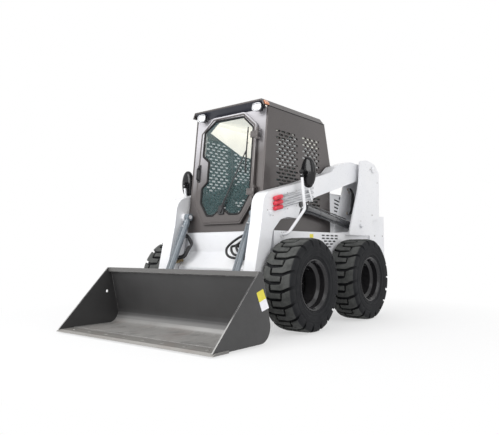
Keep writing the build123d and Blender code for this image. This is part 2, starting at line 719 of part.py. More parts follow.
outer_ear_outline = [
    (*bucket_back(plate_head - 150.0, bucket_wall + coupler_plate - 4.0), 0),
    (bucket_pivot[0] + 30.0, bucket_pivot[1] + 52.0, 20),
    (bucket_pivot[0] + 30.0, bucket_pivot[1] - 52.0, 20),
    (*bucket_back(plate_foot + 4.0, bucket_wall + coupler_plate - 4.0), 0),
]
with BuildPart() as coupler:
    slab(plate_outline, -coupler_half_width, coupler_half_width)
    for side, sign in SIDES:
        slab(ear_outline, sign * (arm_inner_x - ear_gap - ear_thickness), sign * (arm_inner_x - ear_gap))
        slab(ear_outline, sign * (tilt_mid_x - tilt_eye_half - 20.0 - ear_thickness),
             sign * (tilt_mid_x - tilt_eye_half - 20.0))
        slab(outer_ear_outline, sign * (arm_outer_x + ear_gap), sign * coupler_half_width)
        round_x(bucket_pivot, 60.0, sign * (arm_inner_x - ear_gap - ear_thickness),
                sign * (arm_inner_x - ear_gap))
        round_x(bucket_pivot, 60.0, sign * (arm_outer_x + ear_gap), sign * coupler_half_width)
        round_x(bucket_pivot, bucket_pin_radius, sign * (arm_inner_x - ear_gap - ear_thickness),
                sign * coupler_half_width)
save(coupler, "coupler")

# ======================= cab =======================
lean = radians(cab_lean)
cab_front = Plane(origin=(0, cab_front_y, deck_z), x_dir=(1, 0, 0), z_dir=(0, -cos(lean), sin(lean)))
frame_depth = 45.0


def cab_z(height):
    """Height in the cab, kept at its share of the way from the deck to the eaves."""
    return deck_z + (height - deck_z) * cab_tall


def up(z):
    """Distance up the leaning front plane of a point at height z."""
    return (z - deck_z) / cos(lean)


def front_y(z):
    """Place of the leaning front plane at height z."""
    return cab_front_y + (z - deck_z) * tan(lean)


def front_slab(outline, low, high, mode=Mode.ADD):
    """Front outline of (x, height z, corner radius) rows between two distances out of the cab's front."""
    points = [(row[0], up(row[1])) for row in outline]
    corners = [row[2] for row in outline]
    with BuildSketch(cab_front.offset(low)) as profile:
        with BuildLine():
            FilletPolyline(*points, radius=corners, close=True)
        make_face()
    extrude(profile.sketch, amount=high - low, mode=mode)


def cab_rows(rows):
    """Rows of (x, height, corner radius) drawn out to the cab's width and height."""
    return [(row[0] * cab_wide, cab_z(row[1]), row[2] * min(cab_wide, cab_tall)) for row in rows]


def mirrored_outline(half):
    """Whole outline from its half on the machine's left, bottom to top."""
    return half + [(-row[0], row[1], row[2]) for row in reversed(half)]


door_half_low = 370.0
door_half_high = 360.0
door_half_outline = [
    (240.0, 970.0, 15),
    (door_half_low, 1160.0, 40),
    (door_half_high, 1910.0, 40),
    (200.0, 2050.0, 30),
]
opening_margin = 22.0
opening_half_outline = [
    (228.0, 995.0, 10),
    (door_half_low - opening_margin, 1168.0, 30),
    (door_half_high - opening_margin, 1900.0, 30),
    (190.0, 2026.0, 20),
]
roof_flat_half = cab_half_width - 30.0
cab_inner_x = cab_half_width - cab_wall
door_gap = 6.0
door_thickness = 28.0
hinge_x = 385.0 * cab_wide
hinge_out = 48.0        # how far the hinge pins stand out of the cab's front plane
hinge_pin_radius = 7.0
hinge_knuckle_radius = 12.0
hinge_heights = (cab_z(1230.0), cab_z(1780.0))


def hinge_plane(height, shift):
    """Plane across the door's hinge line, shift up it from a height."""
    return Plane(origin=(hinge_x, front_y(height) + shift * sin(lean), height + shift * cos(lean)),
                 x_dir=(1, 0, 0), z_dir=(0, sin(lean), cos(lean)))


with BuildPart() as cab_front_frame:
    frame_outline = [
        (cab_inner_x, deck_z, 0),
        (cab_inner_x, cab_eave_z - 5.0, 0),
        (-cab_inner_x, cab_eave_z - 5.0, 0),
        (-cab_inner_x, deck_z, 0),
    ]
    front_slab(frame_outline, -frame_depth, 0.0)
    front_slab(cab_rows(mirrored_outline(opening_half_outline)), -frame_depth - 10.0, 10.0, mode=Mode.SUBTRACT)
    split(bisect_by=Plane.XY.offset(deck_z), keep=Keep.TOP)
    for height in hinge_heights:
        for low, high in ((-24.0, -1.0), (61.0, 84.0)):
            with BuildSketch(hinge_plane(height, low)) as ear:
                with Locations((0, -hinge_out)):
                    Circle(hinge_knuckle_radius)
                with Locations((4.0, -hinge_out / 2)):
                    Rectangle(14.0, hinge_out)
            extrude(ear.sketch, amount=high - low)
        with BuildSketch(hinge_plane(height, -24.0)) as pin:
            with Locations((0, -hinge_out)):
                Circle(hinge_pin_radius)
        extrude(pin.sketch, amount=108.0)
save(cab_front_frame, "cab_front_frame")

cab_knee_z = cab_z(1596.0)      # where the cab's back leans in towards the roof
cab_waist_z = cab_z(1340.0)
cab_tail = 30.0                 # how far the back leans out between the two
eave_rear_y = 592.0
side_outline = [
    (cab_front_y, deck_z, 0),
    (front_y(cab_eave_z), cab_eave_z, 0),
    (eave_rear_y, cab_eave_z, 20),
    (cab_rear_y + cab_tail, cab_knee_z, 0),
    (cab_rear_y, cab_waist_z, 0),
    (cab_rear_y, deck_z, 0),
]
# slotted windows in each cab side, as (front end, rear end)
slot_fields = ((-310.0, 60.0), (150.0, 480.0))
slot_size = (70.0, 20.0)
slot_pitch = (86.0, 34.0)
slot_low_z = cab_z(1080.0)
slot_high_z = cab_z(1868.0)
slot_rows = int((slot_high_z - slot_low_z) / slot_pitch[1]) + 1
slot_centres = []
for field_front, field_rear in slot_fields:
    for row in range(slot_rows):
        centre_y = field_front + slot_size[0] / 2 + (row % 2) * slot_pitch[0] / 2
        while centre_y + slot_size[0] / 2 <= field_rear + 1.0:
            slot_centres.append((centre_y, slot_high_z - row * slot_pitch[1]))
            centre_y += slot_pitch[0]
for side, sign in SIDES:
    with BuildPart() as cab_side:
        slab(side_outline, sign * cab_inner_x, sign * cab_half_width)
        with BuildSketch(Plane.YZ.offset(sign * cab_inner_x)) as slots:
            with Locations(*slot_centres):
                Rectangle(*slot_size)
        extrude(slots.sketch, amount=sign * cab_wall, mode=Mode.SUBTRACT)
    save(cab_side, f"cab_side_{side}")

cab_glass_thickness = 5.0
visor_y = -497.0
visor_foot_z = cab_eave_z - 20.0
roof_thickness = 14.0
roof_rear_y = 552.0
roof_end_y = 600.0
back_thickness = 18.0
with BuildPart() as cab_roof:
    with BuildSketch(Plane.XZ.offset(-visor_y)) as roof_section:
        with BuildLine():
            Polyline((cab_half_width, cab_eave_z), (roof_flat_half, cab_top_z), (-roof_flat_half, cab_top_z),
                     (-cab_half_width, cab_eave_z), (-cab_half_width + roof_thickness, cab_eave_z),
                     (-roof_flat_half + 6.0, cab_top_z - roof_thickness),
                     (roof_flat_half - 6.0, cab_top_z - roof_thickness),
                     (cab_half_width - roof_thickness, cab_eave_z), close=True)
        make_face()
    extrude(roof_section.sketch, amount=-(roof_end_y - visor_y))
    slab([(roof_rear_y, cab_top_z, 0), (eave_rear_y, cab_eave_z, 0), (roof_end_y + 100.0, cab_eave_z - 20.0, 0),
          (roof_end_y + 100.0, cab_top_z + 20.0, 0), (roof_rear_y, cab_top_z + 20.0, 0)],
         -cab_half_width - 1.0, cab_half_width + 1.0, mode=Mode.SUBTRACT)
    slab([(roof_rear_y - 4.0, cab_top_z - roof_thickness, 0), (roof_rear_y, cab_top_z, 0),
          (eave_rear_y, cab_eave_z, 0), (eave_rear_y - back_thickness, cab_eave_z, 0)],
         -roof_flat_half + 2.0, roof_flat_half - 2.0)
    slab([(visor_y, cab_top_z - 6.0, 0), (visor_y, cab_top_z - roof_thickness, 0),
          (front_y(visor_foot_z) - seat_gap, visor_foot_z, 0),
          (front_y(cab_eave_z - 5.0) - seat_gap, cab_eave_z - 5.0, 0),
          (visor_y + 34.0, cab_top_z - 6.0, 0)], -roof_flat_half + 2.0, roof_flat_half - 2.0)
save(cab_roof, "cab_roof")

rear_wall = 25.0
rear_head_z = cab_eave_z - 4.0
rear_head_y = eave_rear_y - back_thickness      # inner face at the top
rear_outline = [
    (rear_head_y, rear_head_z, 0),
    (eave_rear_y - 1.0, rear_head_z, 0),
    (cab_rear_y + cab_tail, cab_knee_z, 0),
    (cab_rear_y, cab_waist_z, 0),
    (cab_rear_y, deck_z, 0),
    (cab_rear_y - rear_wall, deck_z, 0),
    (cab_rear_y - rear_wall, cab_waist_z, 0),
    (cab_rear_y + cab_tail - rear_wall, cab_knee_z, 0),
]
rear_window_z = (cab_z(1420.0), cab_z(2000.0))
rear_window_half = 350.0 * cab_wide
with BuildPart() as cab_rear:
    slab(rear_outline, -cab_inner_x, cab_inner_x)
    block((-rear_window_half, rear_window_half), (rear_head_y - 150.0, cab_rear_y + 100.0), rear_window_z,
          mode=Mode.SUBTRACT)
save(cab_rear, "cab_rear")

rear_glass_lap = 20.0       # how far the rear glass runs past its window
with BuildPart() as cab_glass:
    knee_y = cab_rear_y + cab_tail - rear_wall - seat_gap
    low_z = rear_window_z[0] - rear_glass_lap
    high_z = rear_window_z[1] + rear_glass_lap / 2
    low_y = knee_y - cab_tail * (cab_knee_z - low_z) / (cab_knee_z - cab_waist_z)
    high_y = knee_y - (knee_y - rear_head_y) * (high_z - cab_knee_z) / (rear_head_z - cab_knee_z)
    slab([(low_y, low_z, 0), (knee_y, cab_knee_z, 0), (high_y - seat_gap, high_z, 0),
          (high_y - cab_glass_thickness, high_z, 0), (knee_y - cab_glass_thickness, cab_knee_z, 0),
          (low_y - cab_glass_thickness, low_z, 0)],
         -rear_window_half - rear_glass_lap, rear_window_half + rear_glass_lap)
    for side, sign in SIDES:
        for field_front, field_rear in slot_fields:
            block((sign * (cab_inner_x - cab_glass_thickness), sign * cab_inner_x),
                  (field_front - 25.0, field_rear + 25.0), (slot_low_z - 30.0, slot_high_z + 30.0))
save(cab_glass, "cab_glass")

floor_thickness = 12.0
with BuildPart() as cab_floor:
    block((-cab_inner_x, cab_inner_x), (footwell_rear_y, cab_rear_y - rear_wall),
          (deck_z, deck_z + floor_thickness))
save(cab_floor, "cab_floor")

seat_half_width = 240.0
seat_floor_z = deck_z + floor_thickness
with BuildPart() as seat:
    block((-200.0, 200.0), (-30.0, 360.0), (seat_floor_z, seat_floor_z + 60.0))
    slab([(-60.0, seat_floor_z + 60.0, 30), (-60.0, seat_floor_z + 150.0, 30), (330.0, seat_floor_z + 130.0, 20),
          (450.0, seat_floor_z + 760.0, 40), (560.0, seat_floor_z + 760.0, 40),
          (440.0, seat_floor_z + 60.0, 40)], -seat_half_width, seat_half_width)
save(seat, "seat")

with BuildPart() as controls:
    for side, sign in SIDES:
        block((sign * 275.0, sign * 345.0), (0.0, 360.0), (1150.0, 1195.0))
        block((sign * 285.0, sign * 335.0), (200.0, 300.0), (seat_floor_z, 1150.0))
        block((sign * 265.0, sign * 355.0), (-58.0, 0.0), (seat_floor_z, 1200.0))
        tube([(sign * 310.0, -30.0, 1200.0), (sign * 310.0, -60.0, 1290.0), (sign * 300.0, -110.0, 1380.0)],
             9.0, 30.0)
        rod((sign * 300.0, -105.0, 1371.0), (sign * 293.0, -145.0, 1443.0), 20.0)
save(controls, "controls")

# ---- door, hinged on the machine's left ----
door_glass_outline = [
    (-304.0, 1913.0, 30),
    (-166.0, 2012.0, 30),
    (190.0, 2006.0, 30),
    (322.0, 1885.0, 30),
    (332.0, 1236.0, 40),
    (227.0, 1058.0, 60),
    (100.0, 1060.0, 40),
    (2.0, 1128.0, 40),
    (-110.0, 1052.0, 30),
    (-190.0, 1056.0, 40),
    (-286.0, 1190.0, 40),
    (-286.0, 1335.0, 30),
    (-218.0, 1392.0, 30),
    (-218.0, 1600.0, 30),
    (-304.0, 1665.0, 30),
]
with BuildPart() as door_frame:
    front_slab(cab_rows(mirrored_outline(door_half_outline)), door_gap, door_gap + door_thickness)
    front_slab(cab_rows(door_glass_outline), 0.0, door_gap + door_thickness + 5.0, mode=Mode.SUBTRACT)
    for height in hinge_heights:
        with BuildSketch(hinge_plane(height, 0.0)) as knuckle:
            with Locations((0, -hinge_out)):
                Circle(hinge_knuckle_radius)
            with Locations((-40.0, -(door_gap + door_thickness) - 6.0)):
                Rectangle(84.0, 12.0)
            with Locations((0, -hinge_out)):
                Circle(hinge_pin_radius + running_gap, mode=Mode.SUBTRACT)
        extrude(knuckle.sketch, amount=60.0)
save(door_frame, "door_frame")

door_glass_thickness = 6.0
with BuildPart() as door_glass:
    glass_low = door_gap + door_thickness / 2
    front_slab(cab_rows(door_glass_outline), glass_low, glass_low + door_glass_thickness)
save(door_glass, "door_glass")

handle_x = -335.0
handle_z = 1490.0
wiper_x = 122.0
front_out = door_gap + door_thickness


def upright_bar(x, half, low, high, radius):
    """Upright bar on the cab's front, as (x, height, corner radius) rows."""
    return [(x - half, low, radius), (x + half, low, radius), (x + half, high, radius), (x - half, high, radius)]


wiper_arm = [(-12.0, 1085.0, 3), (12.0, 1085.0, 3), (wiper_x + 6.0, 1700.0, 3), (wiper_x - 6.0, 1700.0, 3)]
with BuildPart() as door_fittings:
    front_slab(cab_rows(upright_bar(handle_x, 20.0, handle_z - 90.0, handle_z + 90.0, 8)), front_out,
               front_out + 8.0)
    front_slab(cab_rows(upright_bar(handle_x, 9.0, handle_z - 70.0, handle_z + 70.0, 4)), front_out + 8.0,
               front_out + 34.0)
    front_slab(cab_rows(upright_bar(2.5, 37.5, 1060.0, 1150.0, 12)), front_out, front_out + 14.0)
    front_slab(cab_rows(wiper_arm), front_out + 14.0, front_out + 22.0)
    front_slab(cab_rows(upright_bar(wiper_x, 6.0, 1440.0, 1960.0, 3)), glass_low + door_glass_thickness + 2.0,
               front_out + 14.0)
save(door_fittings, "door_fittings")

# ---- lamps ----
lamp_z = cab_eave_z - 22.0
lamp_half = (45.0, 30.0)
lamp_foot = (20.0, 28.0)
with BuildPart() as work_lamps:
    for lamp_x in (380.0 * cab_wide, -330.0 * cab_wide):
        front_slab(upright_bar(lamp_x, lamp_half[0], lamp_z - lamp_half[1], lamp_z + lamp_half[1], 14), 42.0, 84.0)
        front_slab(upright_bar(lamp_x, lamp_foot[0], lamp_z - lamp_foot[1], visor_foot_z - 6.0, 0), seat_gap, 44.0)
save(work_lamps, "work_lamps")

with BuildPart() as marker_lamps:
    for side, sign in SIDES:
        eave_slope = (cab_half_width - roof_flat_half) / (cab_top_z - cab_eave_z)
        foot_x = cab_half_width - 4.0 * eave_slope + seat_gap
        head_x = cab_half_width - 44.0 * eave_slope + seat_gap
        with BuildSketch(Plane.XZ.offset(480.0)) as lamp:
            with BuildLine():
                Polyline((sign * foot_x, cab_eave_z + 4.0), (sign * (cab_half_width + 7.0), cab_eave_z + 4.0),
                         (sign * (cab_half_width + 5.0), cab_eave_z + 24.0), (sign * (head_x + 8.0), cab_eave_z + 48.0),
                         (sign * head_x, cab_eave_z + 44.0), close=True)
            make_face()
        extrude(lamp.sketch, amount=-56.0)
save(marker_lamps, "marker_lamps")

# ---- mirrors on stalks ----
mirror_stalk_radius = 14.0
stalk_foot = (-430.0, 866.0)
stalk_bend_z = 1106.0
stalk_top_z = 1430.0
stalk_lean = 46.0               # how far forward a stalk leans above its bend
mirror_joint_radius = 20.0
stalk_end_rise = mirror_stalk_radius * stalk_lean / (stalk_top_z - stalk_bend_z)
mirror_z = stalk_top_z + stalk_end_rise + seat_gap + mirror_joint_radius
mirror_size = (75.0, 147.0)
mirror_half_depth = 28.0
mirror_aside = 25.0             # middle of the mirror outside its stalk
mirror_behind = 20.0            # middle of the mirror behind its stalk's bend
# one row a side: sign, stalk's distance from the middle, y of the stalk's bend
MIRRORS = ((1, body_half_width + 97.0, -190.0), (-1, body_half_width + 167.0, -265.0))
with BuildPart() as mirror_stalks:
    for sign, stalk_x, bend_y in MIRRORS:
        tube([(sign * body_half_width, *stalk_foot), (sign * (body_half_width + 66.0), *stalk_foot),
              (sign * stalk_x, bend_y, stalk_bend_z), (sign * stalk_x, bend_y - stalk_lean, stalk_top_z)],
             mirror_stalk_radius, 40.0)
        round_x(stalk_foot, 32.0, sign * body_half_width, sign * (body_half_width + 8.0))
save(mirror_stalks, "mirror_stalks")

with BuildPart() as mirrors:
    for sign, stalk_x, bend_y in MIRRORS:
        mirror_plane = Plane(origin=(sign * (stalk_x + mirror_aside), bend_y + mirror_behind, mirror_z),
                             x_dir=(1, 0, 0), z_dir=(0, -1, 0))
        with BuildSketch(mirror_plane) as mirror_face:
            Ellipse(*mirror_size)
        extrude(mirror_face.sketch, amount=mirror_half_depth, both=True)
        rod((sign * stalk_x, bend_y - stalk_lean - mirror_joint_radius, mirror_z),
            (sign * stalk_x, bend_y + mirror_behind, mirror_z), mirror_joint_radius)
save(mirrors, "mirrors")

# ---- hydraulic pipes and couplers on the left arm ----
pipe_radius = 9.0
pipe_x = arm_outer_x + 18.0
pipe_rows = ((-425.0, 1216.0), (-425.0, 1170.0), (-425.0, 1124.0))
pipe_run = 520.0
pipe_rise = 0.235
with BuildPart() as arm_pipes:
    for front, height in pipe_rows:
        rod((pipe_x, front - 145.0, height - 145.0 * pipe_rise), (pipe_x, front, height), 16.0)
        rod((pipe_x, front, height), (pipe_x, front + pipe_run, height + pipe_run * pipe_rise), pipe_radius)
    for offset in (-60.0, 190.0):
        base_y = pipe_rows[0][0] + offset
        rise = offset * pipe_rise
        block((arm_outer_x, pipe_x + 2.0), (base_y, base_y + 30.0), (1100.0 + rise, 1230.0 + rise))
save(arm_pipes, "arm_pipes")

# ---- hoses ----
hose_radius = 9.0
loop_head = (-625.0, 880.0)     # upper and lower ends of the first hose loop inside each arm
loop_foot = (-730.0, 640.0)
loop_in = 140.0                 # how far the loops stand in from the arm
with BuildPart() as arm_hoses:
    for side, sign in SIDES:
        for shift in (0.0, 26.0):
            near_x = arm_inner_x - loop_in + shift
            head_y, head_z = loop_head[0] + shift, loop_head[1] - shift
            foot_y, foot_z = loop_foot[0] + shift, loop_foot[1] + shift
            tube([(sign * arm_inner_x, head_y, head_z),
                  (sign * (near_x + 5.0), head_y, head_z),
                  (sign * near_x, foot_y + 40.0, foot_z + 20.0),
                  (sign * (near_x + 65.0), foot_y, foot_z),
                  (sign * arm_inner_x, foot_y, foot_z)], hose_radius, [45.0, 30.0, 20.0])
save(arm_hoses, "arm_hoses")

hose_head = (1100.0, 1420.0)    # upper and lower ends of the first hose on each upright
hose_foot = (1068.0, 1130.0)
hose_out_x = upright_inner_x + 75.0
with BuildPart() as upright_hoses:
    for side, sign in SIDES:
        for shift in (0.0, 30.0):
            plate_x = sign * (upright_inner_x + 12.0)
            head_y, head_z = hose_head[0] + shift, hose_head[1] - shift
            foot_y, foot_z = hose_foot[0] + shift, hose_foot[1]
            tube([(plate_x, head_y, head_z), (sign * hose_out_x, head_y, head_z),
                  (sign * hose_out_x, foot_y, foot_z), (plate_x, foot_y, foot_z)], hose_radius, 30.0)
save(upright_hoses, "upright_hoses")
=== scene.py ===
"""Looks of the skid steer loader: finishes, tread, seals, fittings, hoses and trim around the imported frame.

Metres, in the frame's own axes: +X to the machine's left, +Y to its rear, +Z up.
"""
import bpy
import bmesh
import json
import math
from mathutils import Matrix, Vector


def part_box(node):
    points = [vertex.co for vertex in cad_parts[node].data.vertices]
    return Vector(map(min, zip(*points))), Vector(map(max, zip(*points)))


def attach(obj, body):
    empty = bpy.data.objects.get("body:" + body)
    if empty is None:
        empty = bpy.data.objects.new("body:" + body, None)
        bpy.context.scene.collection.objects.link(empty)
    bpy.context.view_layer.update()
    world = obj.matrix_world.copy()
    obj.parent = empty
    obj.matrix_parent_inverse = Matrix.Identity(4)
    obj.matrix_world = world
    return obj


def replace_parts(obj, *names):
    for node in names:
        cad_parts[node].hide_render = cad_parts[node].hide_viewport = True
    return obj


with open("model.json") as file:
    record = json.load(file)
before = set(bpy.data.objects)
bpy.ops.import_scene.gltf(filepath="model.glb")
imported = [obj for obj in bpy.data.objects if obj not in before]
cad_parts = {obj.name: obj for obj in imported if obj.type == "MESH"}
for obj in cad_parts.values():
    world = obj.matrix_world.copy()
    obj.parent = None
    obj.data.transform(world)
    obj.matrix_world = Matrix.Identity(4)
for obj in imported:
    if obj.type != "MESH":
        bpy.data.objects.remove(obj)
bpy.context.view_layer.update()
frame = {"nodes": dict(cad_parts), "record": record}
nodes = frame["nodes"]
scene = bpy.context.scene
LOOKS = {}                  # every finish, by the record's slot or by its own name for added trim
SIGNS = (1, -1)             # the machine's left and right
WHEELS = [(f"{end}_{side}", sign) for end in ("front", "rear") for side, sign in (("left", 1), ("right", -1))]
LEAN = math.radians(6.87)   # how far the cab's front leans back
FOOT_Y = -0.569             # where the cab's front meets the deck
DECK = 0.9
AXLE_Z = 0.4165
BASE_MIDDLE = 0.18          # middle of the wheelbase
HALF_BASE = 0.55


# ======================= camera, light and floor =======================
WORLD_LIGHT = 0.72
LAMP_SIZE = 5
HALF_FLOOR = 60


def make_camera():
    """Camera low at the machine's front left corner, looking slightly up."""
    azimuth, pitch, roll = math.radians(38.48), math.radians(3.38), math.radians(-0.29)
    forward = Vector((-math.sin(azimuth) * math.cos(pitch), math.cos(azimuth) * math.cos(pitch), math.sin(pitch)))
    data = bpy.data.cameras.new("camera")
    data.sensor_width, data.lens = 36, 38.22
    data.clip_start, data.clip_end = 0.05, 200
    camera = bpy.data.objects.new("camera", data)
    camera.location = (3.373, -4.386, 0.736)
    camera.rotation_mode = "QUATERNION"
    camera.rotation_quaternion = forward.to_track_quat("-Z", "Y") @ Matrix.Rotation(roll, 3, "Z").to_quaternion()
    scene.collection.objects.link(camera)
    scene.camera = camera


def area_light(name, place, target, power):
    """Soft square lamp that faces a target."""
    data = bpy.data.lights.new(name, "AREA")
    data.shape, data.size, data.energy = "SQUARE", LAMP_SIZE, power
    lamp = bpy.data.objects.new(name, data)
    lamp.location = place
    lamp.rotation_euler = (Vector(target) - Vector(place)).to_track_quat("-Z", "Y").to_euler()
    scene.collection.objects.link(lamp)


class Nodes:
    """Short way to write a node tree."""

    def __init__(self, tree):
        self.tree = tree

    def set(self, node, sockets):
        """Give a node's inputs by name, each a value or another node's output."""
        for key, value in sockets.items():
            socket = node.inputs[key if isinstance(key, int) else key.replace("_", " ")]
            if isinstance(value, bpy.types.NodeSocket):
                self.tree.links.new(value, socket)
            else:
                if isinstance(value, tuple) and len(value) == 3 and socket.type == "RGBA":
                    value = (*value, 1)
                socket.default_value = value

    def add(self, kind, sockets=None, **settings):
        """New node with its settings and inputs."""
        node = self.tree.nodes.new(kind)
        for key, value in settings.items():
            setattr(node, key, value)
        self.set(node, sockets or {})
        return node

    def span(self, value, low, high, to_low=0, to_high=1):
        """Value from low to high, as to_low to to_high, kept inside."""
        return self.add("ShaderNodeMapRange", {"Value": value, "From_Min": low, "From_Max": high,
                                               "To_Min": to_low, "To_Max": to_high}).outputs["Result"]

    def math(self, operation, *values):
        """One step of arithmetic."""
        return self.add("ShaderNodeMath", dict(enumerate(values)), operation=operation).outputs[0]

    def times(self, a, b):
        """Product of two values."""
        return self.math("MULTIPLY", a, b)

    def plus(self, a, b):
        """Sum of two values."""
        return self.math("ADD", a, b)

    def minus(self, a, b):
        """Difference of two values."""
        return self.math("SUBTRACT", a, b)

    def seen(self):
        """1 to the camera, straight on, in a gloss or through glass."""
        path = self.add("ShaderNodeLightPath").outputs
        straight = self.math("MAXIMUM", path["Is Camera Ray"], path["Is Glossy Ray"])
        return self.math("MAXIMUM", straight, path["Is Transmission Ray"])


class Shader(Nodes):
    """Material with its nodes round a Principled BSDF."""

    def __init__(self, name, **sockets):
        self.material = LOOKS[name] = bpy.data.materials.new(name)
        self.material.use_nodes = True
        super().__init__(self.material.node_tree)
        self.bsdf = self.tree.nodes["Principled BSDF"]
        self.finish(**sockets)
        self.place = self.add("ShaderNodeTexCoord").outputs["Object"]

    def finish(self, **sockets):
        """Give the shader's own inputs."""
        self.set(self.bsdf, sockets)

    def stretch(self, scale):
        """Position, scaled by axis."""
        return self.add("ShaderNodeMapping", {"Vector": self.place, "Scale": scale}).outputs["Vector"]

    def noise(self, scale, detail=4, rough=0.55, where=None):
        """Cloud-like variation from 0 to 1."""
        return self.add("ShaderNodeTexNoise", {"Vector": where or self.place, "Scale": scale, "Detail": detail,
                                               "Roughness": rough}).outputs["Fac"]

    def patches(self, scale, detail, rough, *levels):
        """Cloud-like variation, sharpened to levels."""
        return self.span(self.noise(scale, detail, rough), *levels)

    def cells(self, scale, feature="F1"):
        """Distance to the nearest of scattered points."""
        return self.add("ShaderNodeTexVoronoi", {"Vector": self.place, "Scale": scale},
                        feature=feature).outputs["Distance"]

    def mix(self, share, a, b):
        """Colour between a and b."""
        return self.add("ShaderNodeMix", {0: share, 6: a, 7: b}, data_type="RGBA").outputs[2]

    def axis(self, name):
        """Place along X, Y or Z, in metres."""
        return self.add("ShaderNodeSeparateXYZ", {"Vector": self.place}).outputs[name]

    def facing(self, name):
        """Part of the surface's direction along X, Y or Z, as it is at rest."""
        normal = self.add("ShaderNodeTexCoord").outputs["Normal"]
        return self.add("ShaderNodeSeparateXYZ", {"Vector": normal}).outputs[name]

    def edges(self, radius):
        """1 on edges of the shape, within radius."""
        soft = self.add("ShaderNodeBevel", {"Radius": radius}, samples=4).outputs["Normal"]
        sharp = self.add("ShaderNodeNewGeometry").outputs["Normal"]
        alike = self.add("ShaderNodeVectorMath", {0: soft, 1: sharp}, operation="DOT_PRODUCT").outputs["Value"]
        return self.span(self.minus(1, alike), 0.02, 0.12)

    def bump(self, height, depth, strength, **below):
        """Surface relief of a depth in metres."""
        sockets = {"Height": height, "Distance": depth, "Strength": strength, **below}
        return self.add("ShaderNodeBump", sockets).outputs["Normal"]


def make_studio():
    """White world, two soft lamps and a white floor that fades into the world."""
    scene.view_settings.view_transform = "Standard"
    scene.world = bpy.data.worlds.new("studio")
    scene.world.use_nodes = True
    sky = Nodes(scene.world.node_tree)
    strength = sky.span(sky.seen(), 0, 1, WORLD_LIGHT, 1)
    sky.set(sky.tree.nodes["Background"], {"Color": (1, 1, 1), "Strength": strength})
    area_light("key", (-1.5, -7.5, 5), (0, 0, 0.9), 430)
    area_light("fill", (6.5, -1, 4.5), (0, 0.2, 0.9), 110)

    mesh = bpy.data.meshes.new("floor")
    corners = [(x * HALF_FLOOR, y * HALF_FLOOR, 0) for x, y in ((-1, -1), (1, -1), (1, 1), (-1, 1))]
    mesh.from_pydata(corners, [], [(0, 1, 2, 3)])
    floor = bpy.data.objects.new("floor", mesh)
    scene.collection.objects.link(floor)
    look = Shader("floor_white", Base_Color=(0.86, 0.86, 0.87), Roughness=0.9)
    distance = look.add("ShaderNodeVectorMath", {0: look.place}, operation="LENGTH").outputs["Value"]
    fade = look.span(distance, 1, 3.2, 0.55, 1)
    glow = look.add("ShaderNodeEmission", {"Color": (1, 1, 1), "Strength": 1})
    mixed = look.add("ShaderNodeMixShader", {0: look.times(fade, look.seen()), 1: look.bsdf.outputs[0],
                                             2: glow.outputs[0]})
    look.set(look.tree.nodes["Material Output"], {"Surface": mixed.outputs[0]})
    mesh.materials.append(look.material)


# ======================= materials =======================
ROAD_DUST = (0.36, 0.33, 0.29)
FLAKE = (0.5, 0.48, 0.47)
RUST = (0.19, 0.10, 0.075)


def scaled(colour, factor, more=0):
    """Colour made lighter or darker."""
    return tuple(factor * part + more for part in colour)


def painted(name, base, shade, rough, dust_top=0.9, dust_share=0.25, metallic=0, coat=0.4, flakes=0, sky_reflection=None,
            shine=0.5):
    """Sprayed paint with a slight unevenness, road dust low down and, with flakes, a metallic sparkle.

    With a reflection colour given, a painted reflection of the bright sky pales the paint towards the top and the
    machine's right.
    """
    look = Shader(name, Metallic=metallic, Coat_Weight=coat, Coat_Roughness=0.12, Specular_IOR_Level=shine)
    colour = look.mix(look.patches(1.7, 5, 0.55, 0.3, 0.7), base, shade)
    height = look.axis("Z")
    if sky_reflection:
        # painted reflection of the bright sky: the paint pales towards the top and the machine's right, but not on
        # parts standing out of the door's face
        lift = look.minus(height, look.times(look.axis("X"), 0.45))
        out = look.minus(look.times(look.minus(height, DECK), math.sin(LEAN)),
                         look.times(look.plus(look.axis("Y"), -FOOT_Y), math.cos(LEAN)))
        painted_reflection = look.times(look.span(lift, 1.45, 2), look.span(out, 0.0345, 0.036, 1, 0))
        colour = look.mix(painted_reflection, colour, sky_reflection)
    low = look.span(look.plus(height, look.patches(7, 6, 0.65, 0.3, 0.7, -0.25, 0.25)), 0.15, dust_top, dust_share, 0)
    dirty = look.times(low, look.patches(23, 8, 0.7, 0.35, 0.7, 0.3, 1))
    colour = look.mix(dirty, colour, ROAD_DUST)
    roughness = look.plus(look.patches(55, 3, 0.55, 0.3, 0.7, rough - 0.04, rough + 0.05), look.times(dirty, 0.5))
    if flakes:
        colour = look.mix(look.span(look.cells(900), 0, 0.5, flakes, 0), colour, FLAKE)
    look.finish(Base_Color=colour, Roughness=roughness, Normal=look.bump(look.noise(420, 2), 0.0004, 0.25))


